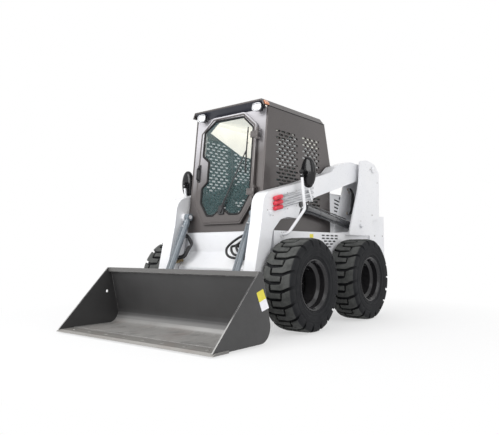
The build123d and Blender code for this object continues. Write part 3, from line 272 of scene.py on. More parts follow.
def bucket_steel(name, base, scuffed_and_lit, bare_and_highlight):
    """Dark paint that digging has scratched: streaks along the floor and rubbed metal edges, with painted highlights
    where the floor curves up and on the top's front face.
    """
    look = Shader(name, Metallic=0.2, Coat_Weight=0.1, Coat_Roughness=0.3, Specular_IOR_Level=0.4)
    height, rise = look.axis("Z"), look.facing("Z")
    colour = look.mix(look.patches(2.3, 6, 0.6, 0.3, 0.7), base, scaled(base, 1.25))
    streaks = look.noise(26, 7, 0.75, look.stretch((2.2, 0.22, 2.2)))
    hairs = look.noise(60, 8, 0.8, look.stretch((5, 0.12, 5)))
    floor_wear = look.times(look.span(rise, 0.55, 0.97), look.span(height, 0.05, 0.16, 1, 0))
    patch = look.patches(5, 6, 0.6, 0.15, 0.45)
    wear = look.times(floor_wear, look.times(look.span(streaks, 0.3, 0.62, 0.6, 1), patch))
    colour = look.mix(wear, colour, scuffed_and_lit)
    colour = look.mix(look.times(floor_wear, look.span(hairs, 0.58, 0.72)), colour, bare_and_highlight)
    # painted highlight: the curve up from the floor is lightened as if lit, with a brighter glint along it towards the
    # machine's left
    heel_highlight = look.times(look.span(rise, 0.1, 0.55, 0, 0.3), look.span(rise, 0.8, 0.97, 1, 0))
    heel_glint = look.times(look.span(rise, 0.6, 0.76), look.span(rise, 0.84, 0.95, 1, 0))
    heel_glint = look.times(heel_glint, look.span(look.axis("X"), -0.35, 0.25, 0.15, 0.75))
    colour = look.mix(look.times(look.plus(heel_highlight, heel_glint), look.span(height, 0.2, 0.28, 1, 0)), colour, bare_and_highlight)
    # painted light: the forward-facing face along the bucket's top is lightened as if lit
    beam_lit_face = look.times(look.span(height, 0.52, 0.53), look.span(look.facing("Y"), -0.8, -0.5, 0.25, 0))
    colour = look.mix(beam_lit_face, colour, scuffed_and_lit)
    marks = look.times(look.patches(3, 4, 0.55, 0.5, 0.7), floor_wear)
    colour = look.mix(look.times(marks, 0.25), colour, RUST)
    colour = look.mix(look.times(look.edges(0.005), look.patches(18, 6, 0.7, 0.35, 0.6)), colour, bare_and_highlight)
    relief = look.bump(hairs, 0.0005, 0.2, Normal=look.bump(look.noise(240, 4, 0.6), 0.0006, 0.3))
    look.finish(Base_Color=colour, Roughness=look.patches(11, 6, 0.7, 0.3, 0.7, 0.34, 0.52), Normal=relief)


def rubber(name, base, dusty, dust_share, rough=0.72, tread=None):
    """Matt rubber with grey dust that settles unevenly; tread is the worn colour of the lugs' tops."""
    look = Shader(name, Specular_IOR_Level=0.2)
    colour = look.mix(look.patches(9, 7, 0.68, 0.35, 0.68, 0, dust_share), base, dusty)
    if tread:
        # both axles stand HALF_BASE from BASE_MIDDLE
        along = look.minus(look.math("ABSOLUTE", look.minus(look.axis("Y"), BASE_MIDDLE)), HALF_BASE)
        rise = look.minus(look.axis("Z"), AXLE_Z)
        reach = look.math("SQRT", look.plus(look.times(along, along), look.times(rise, rise)))
        scuff = look.times(look.span(reach, 0.398, 0.409), look.patches(14, 6, 0.7, 0.3, 0.6, 0.45, 1))
        colour = look.mix(scuff, colour, tread)
    fine = look.noise(500, 3, 0.6)
    relief = look.bump(look.noise(70, 5, 0.6), 0.0008, 0.25, Normal=look.bump(fine, 0.0005, 0.35))
    look.finish(Base_Color=colour, Roughness=look.span(fine, 0.3, 0.7, rough - 0.08, rough + 0.08), Normal=relief)


def plastic(name, base, rough, grain=700, depth=0.00025, coat=0, shine=0.5, glow=0):
    """Moulded plastic with a fine grain."""
    look = Shader(name, Coat_Weight=coat, Coat_Roughness=0.08, Specular_IOR_Level=shine, Emission_Color=base,
                  Emission_Strength=glow)
    look.finish(Base_Color=look.mix(look.patches(4, 5, 0.55, 0.35, 0.7), base, scaled(base, 1.3, 0.004)),
                Roughness=look.patches(14, 4, 0.55, 0.3, 0.7, rough - 0.05, rough + 0.06),
                Normal=look.bump(look.cells(grain), depth, 0.35))


def metal(name, base, rough, brushed=(1, 1, 1)):
    """Bare or plated metal with fine scratches along one axis."""
    look = Shader(name, Metallic=1)
    lines = look.noise(90, 6, 0.7, look.stretch(brushed))
    look.finish(Base_Color=look.mix(look.patches(12, 5, 0.55, 0.3, 0.7), base, scaled(base, 0.8)),
                Roughness=look.span(lines, 0.3, 0.7, rough * 0.75, rough * 1.3), Normal=look.bump(lines, 0.0002, 0.2))


def glass(name, tint, clear):
    """Thin tinted pane: mostly see-through, with a plain gloss."""
    look = Shader(name, IOR=1.45, Alpha=1 - clear, Specular_IOR_Level=0.6)
    haze = look.patches(6, 5, 0.6, 0.4, 0.75, 0, 0.25)
    look.material.surface_render_method = "BLENDED"
    look.finish(Base_Color=look.mix(haze, tint, scaled(tint, 1.6, 0.05)),
                Roughness=look.span(haze, 0, 0.25, 0.02, 0.07))


def lens(name, base, ribs, glow=0):
    """Moulded lamp lens with fine upright ribs."""
    look = Shader(name, Roughness=0.12, Coat_Weight=0.8, Coat_Roughness=0.04, Emission_Color=base,
                  Emission_Strength=glow)
    wave = look.add("ShaderNodeTexWave", {"Vector": look.place, "Scale": ribs, "Distortion": 0},
                    bands_direction="X").outputs["Fac"]
    look.finish(Base_Color=look.mix(look.span(wave, 0.2, 0.8, 0, 0.35), base, scaled(base, 0.55)),
                Normal=look.bump(wave, 0.0006, 0.5))


def vinyl(name, base):
    """Leather-grained seat vinyl."""
    look = Shader(name, Specular_IOR_Level=0.45)
    grain = look.cells(260, "SMOOTH_F1")
    look.finish(Base_Color=look.mix(look.patches(16, 5, 0.55, 0.3, 0.7), base, scaled(base, 1.6)),
                Roughness=look.span(grain, 0.1, 0.6, 0.6, 0.42), Normal=look.bump(grain, 0.0006, 0.5))


def braided(name, base):
    """Hose cover with a fine woven wrap."""
    look = Shader(name, Specular_IOR_Level=0.4)
    weave = look.cells(420)
    look.finish(Base_Color=look.mix(look.patches(20, 4, 0.55, 0.35, 0.7), base, scaled(base, 2.2)),
                Roughness=look.span(weave, 0, 0.6, 0.62, 0.42), Normal=look.bump(weave, 0.0006, 0.4))


def make_looks():
    """Every finish of the machine."""
    painted("white_paint", (0.83, 0.84, 0.87), (0.89, 0.895, 0.91), 0.3, dust_share=0.18)
    painted("hood_paint", (0.16, 0.16, 0.165), (0.19, 0.185, 0.19), 0.42, dust_share=0.1)
    painted("cab_paint", (0.07, 0.062, 0.061), (0.088, 0.077, 0.075), 0.36, metallic=0.45, coat=0.25, flakes=0.1,
            dust_share=0.05)
    # door paint: its last colour is a painted reflection of the bright sky, towards the top and the machine's right
    painted("door_paint", (0.082, 0.073, 0.071), (0.095, 0.084, 0.082), 0.34, metallic=0.3, coat=0.3, flakes=0.1,
            dust_share=0.05, sky_reflection=(0.56, 0.55, 0.58))
    # painted shade: the visor's face gets this darker paint to stand in for the shade under the roof's front edge
    painted("visor_painted_shade", (0.022, 0.024, 0.034), (0.03, 0.032, 0.044), 0.4, coat=0.2, dust_share=0)
    painted("dark_steel", (0.045, 0.045, 0.048), (0.06, 0.058, 0.058), 0.45, dust_share=0.4)
    painted("engine_metal", (0.07, 0.07, 0.075), (0.1, 0.1, 0.1), 0.55, coat=0)
    painted("cylinder_paint", (0.04, 0.042, 0.048), (0.055, 0.057, 0.062), 0.24, coat=0.7)
    painted("blue_grey_paint", (0.15, 0.185, 0.215), (0.18, 0.21, 0.24), 0.28, coat=0.7, dust_share=0.1)
    painted("rim_paint", (0.015, 0.0147, 0.017), (0.021, 0.0205, 0.023), 0.2, coat=0.35, dust_share=0.04,
            dust_top=0.7, shine=0.2)
    bucket_steel("bucket_paint", (0.047, 0.0465, 0.047), (0.42, 0.41, 0.395), (0.5, 0.495, 0.485))
    bucket_steel("bucket_steel", (0.15, 0.145, 0.14), (0.27, 0.26, 0.245), (0.42, 0.41, 0.39))
    rubber("tyre_rubber", (0.009, 0.0097, 0.0115), (0.036, 0.036, 0.038), 0.35, tread=(0.092, 0.095, 0.091))
    rubber("rubber_mat", (0.028, 0.028, 0.028), (0.09, 0.08, 0.07), 0.4)
    rubber("seal_rubber", (0.012, 0.012, 0.013), (0.05, 0.05, 0.05), 0.15, 0.5)
    braided("hose_rubber", (0.014, 0.014, 0.015))
    vinyl("seat_vinyl", (0.022, 0.022, 0.024))
    glass("tinted_glass", (0.085, 0.15, 0.155), 0.76)
    metal("rod_chrome", (0.82, 0.83, 0.85), 0.09, (1, 0.2, 1))
    metal("zinc_pipe", (0.66, 0.67, 0.69), 0.3, (1, 0.1, 1))
    metal("bolt_zinc", (0.52, 0.51, 0.49), 0.34)
    metal("brass_coupler", (0.42, 0.33, 0.2), 0.35)
    metal("mirror_glass", (0.8, 0.82, 0.84), 0.03)
    plastic("black_plastic", (0.018, 0.018, 0.02), 0.38)
    plastic("gloss_black", (0.006, 0.006, 0.007), 0.1, grain=300, depth=0.0001, coat=0.1, shine=0.3)
    plastic("lamp_housing", (0.8, 0.81, 0.83), 0.25, coat=0.5)
    plastic("red_plastic", (0.68, 0.03, 0.06), 0.3, coat=0.4)
    # the headliner and wall trim glow though they are no lamp: painted light that brightens the cab's inside
    plastic("headliner", (0.94, 0.915, 0.84), 0.8, grain=1400, depth=0.0004, glow=0.9)
    plastic("label_yellow", (0.72, 0.63, 0.04), 0.35, coat=0.3)
    plastic("label_white", (0.8, 0.8, 0.84), 0.35, coat=0.3)
    lens("lamp_lens", (0.92, 0.94, 0.96), 70, 0.12)
    lens("amber_lens", (0.7, 0.23, 0.07), 110)
    lens("red_lens", (0.5, 0.02, 0.02), 110)


# ======================= mesh helpers =======================
HERE = Matrix.Identity(4)
TINY = 1e-9
UPRIGHT = Matrix(((1, 0, 0, 0), (0, 0, -1, 0), (0, 1, 0, 0), (0, 0, 0, 1)))     # local y up, z to the front
SIDEWAYS = Matrix(((0, 0, 1, 0), (1, 0, 0, 0), (0, 1, 0, 0), (0, 0, 0, 1)))     # local x, y, z to world y, z, x


def vec(x, y, z):
    """Vector from its parts."""
    return Vector((x, y, z))


def forms(count):
    """New empty meshes."""
    return (bmesh.new() for form in range(count))


def at(point, direction=(0, 0, 1), spin=0):
    """Matrix that puts local Z along direction, with its origin at point."""
    turn = Vector(direction).normalized().to_track_quat("Z", "Y").to_matrix().to_4x4()
    return Matrix.Translation(point) @ turn @ Matrix.Rotation(spin, 4, "Z")


def around(count, radius, start=0):
    """Angles round a circle, each with its two offsets."""
    for step in range(count):
        turn = start + 2 * math.pi * step / count
        yield turn, radius * math.cos(turn), radius * math.sin(turn)


def bridge(bm, low, high, loop=True):
    """Faces between two rows of corners."""
    for step in range(len(low) if loop else len(low) - 1):
        after = (step + 1) % len(low)
        bm.faces.new((low[step], low[after], high[after], high[step]))


def lathe(bm, place, profile, segments=32, closed=False):
    """Turned form round local Z, from (along, radius) rows; a radius of 0 closes an end."""
    rings = [[bm.verts.new(place @ vec(x, y, along)) for turn, x, y in around(segments if radius > TINY else 1, radius)]
             for along, radius in profile]
    for low, high in zip(rings, rings[1:] + rings[:1] if closed else rings[1:]):
        if len(low) == len(high):
            bridge(bm, high, low)
            continue
        for step in range(segments):
            after = (step + 1) % segments
            bm.faces.new((low[0], high[step], high[after]) if len(low) == 1 else (low[step], high[0], low[after]))


def knob(bm, place, profile, segments=24):
    """Turned form with flat ends."""
    lathe(bm, place, [(profile[0][0], 0), *profile, (profile[-1][0], 0)], segments)


def prism(bm, place, outline, low, high, inset=0):
    """Plate with the given local (x, y) outline from local z low to high, its top edge drawn in by inset."""
    middle = Vector([sum(values) / len(outline) for values in zip(*outline)])
    rings = []
    for level, draw in ((low, 0), (high - inset, 0), (high, inset)) if inset else ((low, 0), (high, 0)):
        spots = [middle + away * (1 - draw / max(away.length, 1e-6))
                 for away in (Vector(point) - middle for point in outline)]
        rings.append([bm.verts.new(place @ vec(*spot, level)) for spot in spots])
    for first, second in zip(rings, rings[1:]):
        bridge(bm, first, second)
    bm.faces.new(rings[0][::-1])
    bm.faces.new(rings[-1])


def box(bm, low, high, place=HERE, inset=0):
    """Box between two corners."""
    outline = [(low[0], low[1]), (high[0], low[1]), (high[0], high[1]), (low[0], high[1])]
    prism(bm, place, outline, low[2], high[2], inset)


def rectangle(x, y, half_x, half_y):
    """Outline of a rectangle about a middle."""
    return [(x - half_x, y - half_y), (x + half_x, y - half_y), (x + half_x, y + half_y), (x - half_x, y + half_y)]


def slab(bm, place, x, y, half_x, half_y, low, high, radius, inset=0, steps=5):
    """Plate with rounded corners about a local middle."""
    prism(bm, place, rounded(rectangle(x, y, half_x, half_y), radius, steps), low, high, inset)


def panel(bm, outline, radius, first, second, inset=0):
    """Upright plate from a (y, z) outline with rounded corners, between two places across the machine."""
    prism(bm, SIDEWAYS, rounded(outline, radius), *sorted((first, second)), inset)


def ease(made, name, width, segments, angle):
    """Bevel on edges sharper than an angle in degrees."""
    soft = made.modifiers.new(name, "BEVEL")
    soft.width, soft.segments = width, segments
    soft.limit_method, soft.angle_limit = "ANGLE", math.radians(angle)
    soft.harden_normals = True


def piece(name, bm, body, slot, look=None, bevel=0, angle=35, segments=2):
    """Finished mesh object that rides on a body; its look is its slot's unless named."""
    bmesh.ops.recalc_face_normals(bm, faces=bm.faces)
    mesh = bpy.data.meshes.new(name)
    bm.to_mesh(mesh)
    bm.free()
    mesh.shade_smooth()
    mesh.set_sharp_from_angle(angle=math.radians(angle))
    mesh.materials.append(LOOKS[look or slot])
    made = bpy.data.objects.new(name, mesh)
    scene.collection.objects.link(made)
    if bevel:
        ease(made, "edges", bevel, segments, angle)
    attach(made, body)
    return made


def bolts(name, body, rows, slot="white_paint", look="bolt_zinc", washer=True):
    """Hexagon bolts, from rows of (place, direction, size across the head)."""
    bm = bmesh.new()
    for index, (place, direction, size) in enumerate(rows):
        spot = at(place, direction, 0.4 * index)
        foot = 0.12 * size if washer else 0
        if washer:
            knob(bm, spot, [(0, 0.78 * size), (foot * 0.7, 0.78 * size), (foot, 0.7 * size)])
        top = foot + 0.36 * size
        knob(bm, spot, [(foot, 0.56 * size), (foot + 0.3 * size, 0.56 * size), (top, 0.46 * size)], 6)
    piece(name, bm, body, slot, look, bevel=0.0005, angle=30, segments=1)


def rounded(points, radius, steps=5):
    """Closed outline with its corners rounded; radius is one value or one for each point."""
    radii = radius if isinstance(radius, list) else [radius] * len(points)
    outline = []
    for index, here in enumerate(points):
        here = Vector(here)
        before = Vector(points[index - 1]) - here
        after = Vector(points[(index + 1) % len(points)]) - here
        half = before.angle(after) / 2
        reach = min(radii[index] / math.tan(half), 0.48 * before.length, 0.48 * after.length)
        if reach < 1e-5:
            outline.append(here)
            continue
        start, end = here + before.normalized() * reach, here + after.normalized() * reach
        for step in range(steps + 1):
            share = step / steps
            outline.append(start * (1 - share) ** 2 + here * 2 * share * (1 - share) + end * share ** 2)
    return [tuple(point) for point in outline]


def strip(bm, place, path, profile):
    """Moulding along a closed flat local path; profile rows are (offset to the path's left, height)."""
    rings = []
    for index, here in enumerate(path):
        here = Vector(here)
        first = (here - Vector(path[index - 1])).normalized()
        second = (Vector(path[(index + 1) % len(path)]) - here).normalized()
        left = Vector((-(first.y + second.y), first.x + second.x)).normalized()
        grow = 1 / max(0.35, left.dot(Vector((-first.y, first.x))))
        rings.append([bm.verts.new(place @ vec(*(here + left * offset * grow), height)) for offset, height in profile])
    for low, high in zip(rings, rings[1:] + rings[:1]):
        bridge(bm, low, high, loop=False)


def curve_points(points, steps):
    """Smooth path through the points, each stretch cut into steps."""
    path = []
    spots = [Vector(point) for point in points]
    for index, (start, end) in enumerate(zip(spots, spots[1:])):
        before, after = spots[max(index - 1, 0)], spots[min(index + 2, len(spots) - 1)]
        for step in range(steps):
            share = step / steps
            path.append(0.5 * (2 * start + (end - before) * share
                               + (2 * before - 5 * start + 4 * end - after) * share ** 2
                               + (3 * start - before - 3 * end + after) * share ** 3))
    return path + [spots[-1]]


def tube(bm, path, radius, segments=14, smooth=0):
    """Round bar along a path, curved with smooth; radius is one value or one for each point."""
    path = curve_points(path, smooth) if smooth else [Vector(point) for point in path]
    radii = radius if isinstance(radius, list) else [radius] * len(path)
    across = (path[1] - path[0]).normalized().orthogonal().normalized()
    rings = []
    for index, here in enumerate(path):
        heading = (path[min(index + 1, len(path) - 1)] - path[max(index - 1, 0)]).normalized()
        across = (across - heading * across.dot(heading)).normalized()
        other = heading.cross(across)
        rings.append([bm.verts.new(here + radii[index] * (x * across + y * other))
                      for turn, x, y in around(segments, 1)])
    for low, high in zip(rings, rings[1:]):
        bridge(bm, low, high)
    bm.faces.new(rings[0][::-1])
    bm.faces.new(rings[-1])


make_looks()
make_camera()
make_studio()
for material in frame["record"]["materials"]:
    for row in frame["record"]["subparts"]:
        if row["material_slot"] == material["slot"]:
            worn = nodes[row["node"]].data.materials
            worn.clear()
            worn.append(LOOKS[material["slot"]])
# the door and the cab's front frame take the door paint, with its painted reflection of the bright sky
for node_name in ("door_frame", "cab_front_frame"):
    nodes[node_name].data.materials[0] = LOOKS["door_paint"]


# ======================= wheels =======================
TREAD_PITCHES = 18
GROOVE = 0.095              # half a groove, as a share of a pitch
LUG_DEPTH = 0.026
LUG_FOOT = 0.004            # how far a lug's foot sinks into the tyre
# section of the tread's grooves and of its lugs' tops, as (offset from the tyre's middle, radius)
GROOVE_SECTION = [(0, 0.391), (0.1, 0.389), (0.133, 0.379), (0.148, 0.354), (0.1525, 0.318)]
LUG_SECTION = [(0, 0.4163), (0.1, 0.4148), (0.136, 0.407), (0.1535, 0.38), (0.1537, 0.318)]
# one lug, as (distance across the tread from the middle, place round it in pitches)
LUG_OUTLINE = [(0.203, 0.06 + GROOVE), (0.165, GROOVE), (0.06, GROOVE - 0.28), (-0.046, GROOVE - 0.28),
               (-0.046, 0.22 - GROOVE), (0.053, 0.22 - GROOVE), (0.065, 0.22), (0.065, 0.72 - GROOVE),
               (0.165, 1 - GROOVE), (0.203, 0.94 - GROOVE)]
# cuts that let a lug bend over the shoulder and round the tyre
CUTS_ACROSS = (0, 0.03, 0.085, 0.1, 0.112, 0.125, 0.137, 0.148, 0.158, 0.169, 0.185)
CUTS_ROUND = (-0.12, 0.05, 0.22, 0.44, 0.62, 0.8)
# sidewall from the rim up to the tread, as (offset, radius)
SIDEWALL = [(0.124, 0.229), (0.1335, 0.23), (0.1385, 0.237), (0.14, 0.246), (0.144, 0.248), (0.1475, 0.253),
            (0.148, 0.259), (0.146, 0.264), (0.145, 0.2665), (0.1485, 0.28), (0.15, 0.288), (0.1515, 0.289),
            (0.152, 0.2925), (0.1508, 0.294), (0.152, 0.305), (0.152, 0.318), (0.1535, 0.3195), (0.1535, 0.3225),
            (0.1518, 0.324), (0.1505, 0.34), (0.148, 0.354), (0.141, 0.369), (0.133, 0.379), (0.12, 0.385),
            (0.1, 0.389), (0.05, 0.3905), (0, 0.391)]


def on_section(section, distance):
    """Offset and radius on a section, at a distance across from its middle along the lugs' tops."""
    left = abs(distance)
    for index, (start, end) in enumerate(zip(LUG_SECTION, LUG_SECTION[1:])):
        length = math.dist(start, end)
        if left <= length or index == len(LUG_SECTION) - 2:
            first, last = section[index], section[index + 1]
            share = min(1, left / length)
            offset = first[0] + (last[0] - first[0]) * share
            return math.copysign(offset, distance), first[1] + (last[1] - first[1]) * share
        left -= length


def make_lug(bm, side, turn, radius):
    """One tread lug in the tyre's own axes, its middle on X."""
    pitch = 2 * math.pi * radius / TREAD_PITCHES
    lug = bmesh.new()
    low, high = ([lug.verts.new((across, along * pitch, level)) for across, along in LUG_OUTLINE]
                 for level in (0, LUG_DEPTH))
    bridge(lug, low, high)
    lug.faces.new(high)
    rim_edges = [edge for edge in lug.edges if all(vert.co.z > LUG_DEPTH / 2 for vert in edge.verts)]
    bmesh.ops.bevel(lug, geom=rim_edges, offset=0.006, segments=2, profile=0.6, affect="EDGES")
    for place, normal in ([((cut, 0, 0), (1, 0, 0)) for cut in CUTS_ACROSS]
                          + [((0, cut * pitch, 0), (0, 1, 0)) for cut in CUTS_ROUND]):
        bmesh.ops.bisect_plane(lug, geom=lug.verts[:] + lug.edges[:] + lug.faces[:], plane_co=place,
                               plane_no=normal)
    moved = {}
    for vert in lug.verts:
        share = vert.co.z / LUG_DEPTH
        foot, top = on_section(GROOVE_SECTION, vert.co.x), on_section(LUG_SECTION, vert.co.x)
        offset = foot[0] + (top[0] - foot[0]) * share
        reach = foot[1] - LUG_FOOT + (top[1] - foot[1] + LUG_FOOT) * share
        angle = turn - vert.co.y / radius
        moved[vert] = bm.verts.new((side * offset, reach * math.cos(angle), reach * math.sin(angle)))
    for face in lug.faces:
        bm.faces.new([moved[vert] for vert in face.verts])
    lug.free()


def make_tyre(name):
    """Tyre with staggered chevron lugs that wrap over its shoulders, and ringed sidewalls."""
    low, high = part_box(f"tyre_{name}")
    bm = bmesh.new()
    mirrored = [(-offset, reach) for offset, reach in SIDEWALL[-2::-1]]
    lathe(bm, Matrix.Rotation(math.radians(90), 4, "Y"), SIDEWALL + mirrored, 96)
    for turn, y, z in around(TREAD_PITCHES, 1):
        make_lug(bm, 1, turn, (high.z - low.z) / 2)
        make_lug(bm, -1, turn + math.pi / TREAD_PITCHES, (high.z - low.z) / 2)
    bmesh.ops.translate(bm, verts=bm.verts, vec=(low + high) / 2)
    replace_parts(piece(f"tread_{name}", bm, f"wheel_{name}", "tyre_rubber", angle=38), f"tyre_{name}")


def make_wheel_trim(name, sign):
    """Wheel nuts, hub cap, valve and the rim's rolled lips."""
    low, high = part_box(f"rim_{name}")
    hub = vec(sign * 0.68, (low.y + high.y) / 2, (low.z + high.z) / 2)
    outward = (sign, 0, 0)
    body = f"wheel_{name}"
    nuts, cap, lips, valve = forms(4)
    for angle, y, z in around(8, 0.102):
        spot = at(hub + vec(0, y, z), outward, angle)
        knob(nuts, spot, [(0, 0.021), (0.003, 0.021), (0.004, 0.018)])
        knob(nuts, spot, [(0.004, 0.0165), (0.018, 0.0165), (0.021, 0.014)], 6)
        lathe(nuts, spot, [(0.021, 0.0095), (0.027, 0.0095), (0.029, 0.0075), (0.029, 0)], 16)
    piece(f"nuts_{name}", nuts, body, "rim_paint", "bolt_zinc", bevel=0.0006, angle=30, segments=1)
    lathe(cap, at(hub, outward), [(0, 0.08), (0.005, 0.08), (0.008, 0.076), (0.008, 0.064), (0.03, 0.0625),
                                  (0.037, 0.058), (0.042, 0.048), (0.044, 0.03), (0.044, 0)], 48)
    for angle, y, z in around(4, 0.036, math.pi / 4):
        boss = at(hub + vec(sign * 0.043, y, z), outward, angle)
        knob(cap, boss, [(0, 0.007), (0.005, 0.007), (0.006, 0.005)], 6)
    piece(f"hub_cap_{name}", cap, body, "rim_paint", angle=32)
    axle = at((0, hub.y, hub.z), outward)
    for offset, reach, thick in ((0.9085, 0.2235, 0.0045), (0.646, 0.2235, 0.0045), (0.842, 0.2015, 0.003)):
        lathe(lips, axle, [(offset + x, reach + y) for turn, x, y in around(8, thick)], 72, closed=True)
    piece(f"rim_lips_{name}", lips, body, "rim_paint", angle=50)
    root = vec(sign * 0.842, hub.y - 0.105, hub.z + 0.16)
    tip = root + vec(sign * 0.045, 0.01, -0.016)
    tube(valve, [root, root + vec(sign * 0.02, 0.002, -0.003), tip],
         [0.0075, 0.0065, 0.006, 0.0055, 0.005, 0.0045, 0.0045, 0.0045, 0.0045], 12, 4)
    tube(valve, [tip, tip + vec(sign * 0.014, 0.005, -0.008)], 0.0058, 10)
    piece(f"valve_{name}", valve, body, "rim_paint", "seal_rubber", angle=40)


for wheel_name, wheel_sign in WHEELS:
    make_tyre(wheel_name)
    make_wheel_trim(wheel_name, wheel_sign)


# ======================= cab front and door =======================
# the cab's leaning front: local x across, y up it, z out of it
FRONT = Matrix.Translation((0, FOOT_Y, DECK)) @ Matrix.Rotation(math.radians(90) - LEAN, 4, "X")
DOOR_OUT = 0.034            # front of the door's frame
GLASS_OUT = 0.026           # front of its glass
HINGES = (1.23, 1.78)
WIPER_X = 0.262             # where the wiper blade parks
WIPER_FOOT = 1.092
WIPER_HEAD = 1.64
LAMP_HEIGHT = 2.058
DOOR_OUTLINE = [(0.24, 0.97), (0.37, 1.16), (0.36, 1.91), (0.2, 2.05), (-0.2, 2.05), (-0.36, 1.91), (-0.37, 1.16),
                (-0.24, 0.97)]
GLASS_OUTLINE = [(-0.304, 1.913), (-0.166, 2.012), (0.19, 2.006), (0.322, 1.885), (0.332, 1.236), (0.227, 1.058),
                 (0.1, 1.06), (0.002, 1.128), (-0.11, 1.052), (-0.19, 1.056), (-0.286, 1.19), (-0.286, 1.335),
                 (-0.218, 1.392), (-0.218, 1.6), (-0.304, 1.665)]
GLASS_CORNERS = [0.03, 0.03, 0.03, 0.03, 0.04, 0.06, 0.04, 0.04, 0.03, 0.04, 0.04, 0.03, 0.03, 0.03, 0.03]


def up(height):
    """Distance up the leaning front of a point at a height."""
    return (height - DECK) / math.cos(LEAN)


def front_rows(rows):
    """(x, height) rows as local places on the front plane."""
    return [(x, up(height)) for x, height in rows]


def on_front(x, height, out):
    """Place square to the cab's front, out of it at a height."""
    return FRONT @ Matrix.Translation((x, up(height), out))


def make_door():
    """Rubber round the glass and the door, hinge bolts and the inner edge moulding."""
    seal, weather, rib, caps = forms(4)
    glass_path = rounded(front_rows(GLASS_OUTLINE), GLASS_CORNERS, 6)
    strip(seal, FRONT, glass_path, [(-0.011, GLASS_OUT + 0.0002), (-0.01, 0.032), (-0.006, 0.0362), (0.001, 0.0372),
                                    (0.007, 0.0362), (0.0095, DOOR_OUT - 0.0004)])
    piece("door_glass_seal", seal, "cab_door", "hose_rubber", "seal_rubber", angle=50)
    door_path = rounded(front_rows(DOOR_OUTLINE), 0.035, 6)
    strip(weather, FRONT, door_path, [(0.016, 0.0004), (0.016, 0.0048), (0.006, 0.0056), (0.004, 0.0004)])
    piece("door_weather_strip", weather, "root", "hose_rubber", "seal_rubber", angle=50)
    strip(rib, FRONT, door_path, [(across, DOOR_OUT + out) for across, out in (
        (0.03, -0.0004), (0.028, 0.003), (0.021, 0.004), (0.014, 0.003), (0.012, -0.0004))])
    piece("door_pressed_rib", rib, "cab_door", "cab_paint", angle=50)
    outward = FRONT.to_3x3() @ vec(0, 0, 1)
    rows = [(FRONT @ vec(across, up(height) + shift, 0.046), outward, 0.008)
            for height in HINGES for shift in (0.014, 0.046) for across in (0.322, 0.346)]
    bolts("door_hinge_bolts", "cab_door", rows, "cab_paint", "cab_paint", False)
    for height in HINGES:
        for end, turn in ((-0.0245, 90), (0.0845, -90)):
            spot = FRONT @ Matrix.Translation((0.385, up(height) + end, 0.048))
            lathe(caps, spot @ Matrix.Rotation(math.radians(turn), 4, "X"),
                  [(0, 0.0115), (0.003, 0.0115), (0.005, 0.008), (0.0055, 0)], 20)
    piece("door_hinge_caps", caps, "root", "cab_paint")


def make_handle():
    """Lockable grab handle."""
    bm = bmesh.new()
    x, low, high = -0.335, 1.4, 1.58
    foot = front_rows([(x - 0.02, low), (x + 0.02, low), (x + 0.02, high), (x - 0.02, high)])
    prism(bm, FRONT, rounded(foot, 0.01), DOOR_OUT, DOOR_OUT + 0.008, 0.002)
    grip = [(low + 0.022, DOOR_OUT + 0.004), (low + 0.026, 0.058), (low + 0.04, 0.066), (1.49, 0.0675),
            (high - 0.055, 0.066), (high - 0.041, 0.058), (high - 0.037, DOOR_OUT + 0.004)]
    tube(bm, [FRONT @ point for point in curve_points([(x, up(height), out) for height, out in grip], 5)], 0.0085)
    lock = on_front(x, high - 0.017, DOOR_OUT + 0.008)
    lathe(bm, lock, [(0, 0.012), (0.004, 0.012), (0.0055, 0.0105), (0.0055, 0.0075), (0.004, 0.007), (0.004, 0)], 24)
    box(bm, (-0.0012, -0.005, 0.0038), (0.0012, 0.005, 0.0046), lock)
    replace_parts(piece("door_handle", bm, "cab_door", "black_plastic", bevel=0.0008, angle=40), "door_fittings")


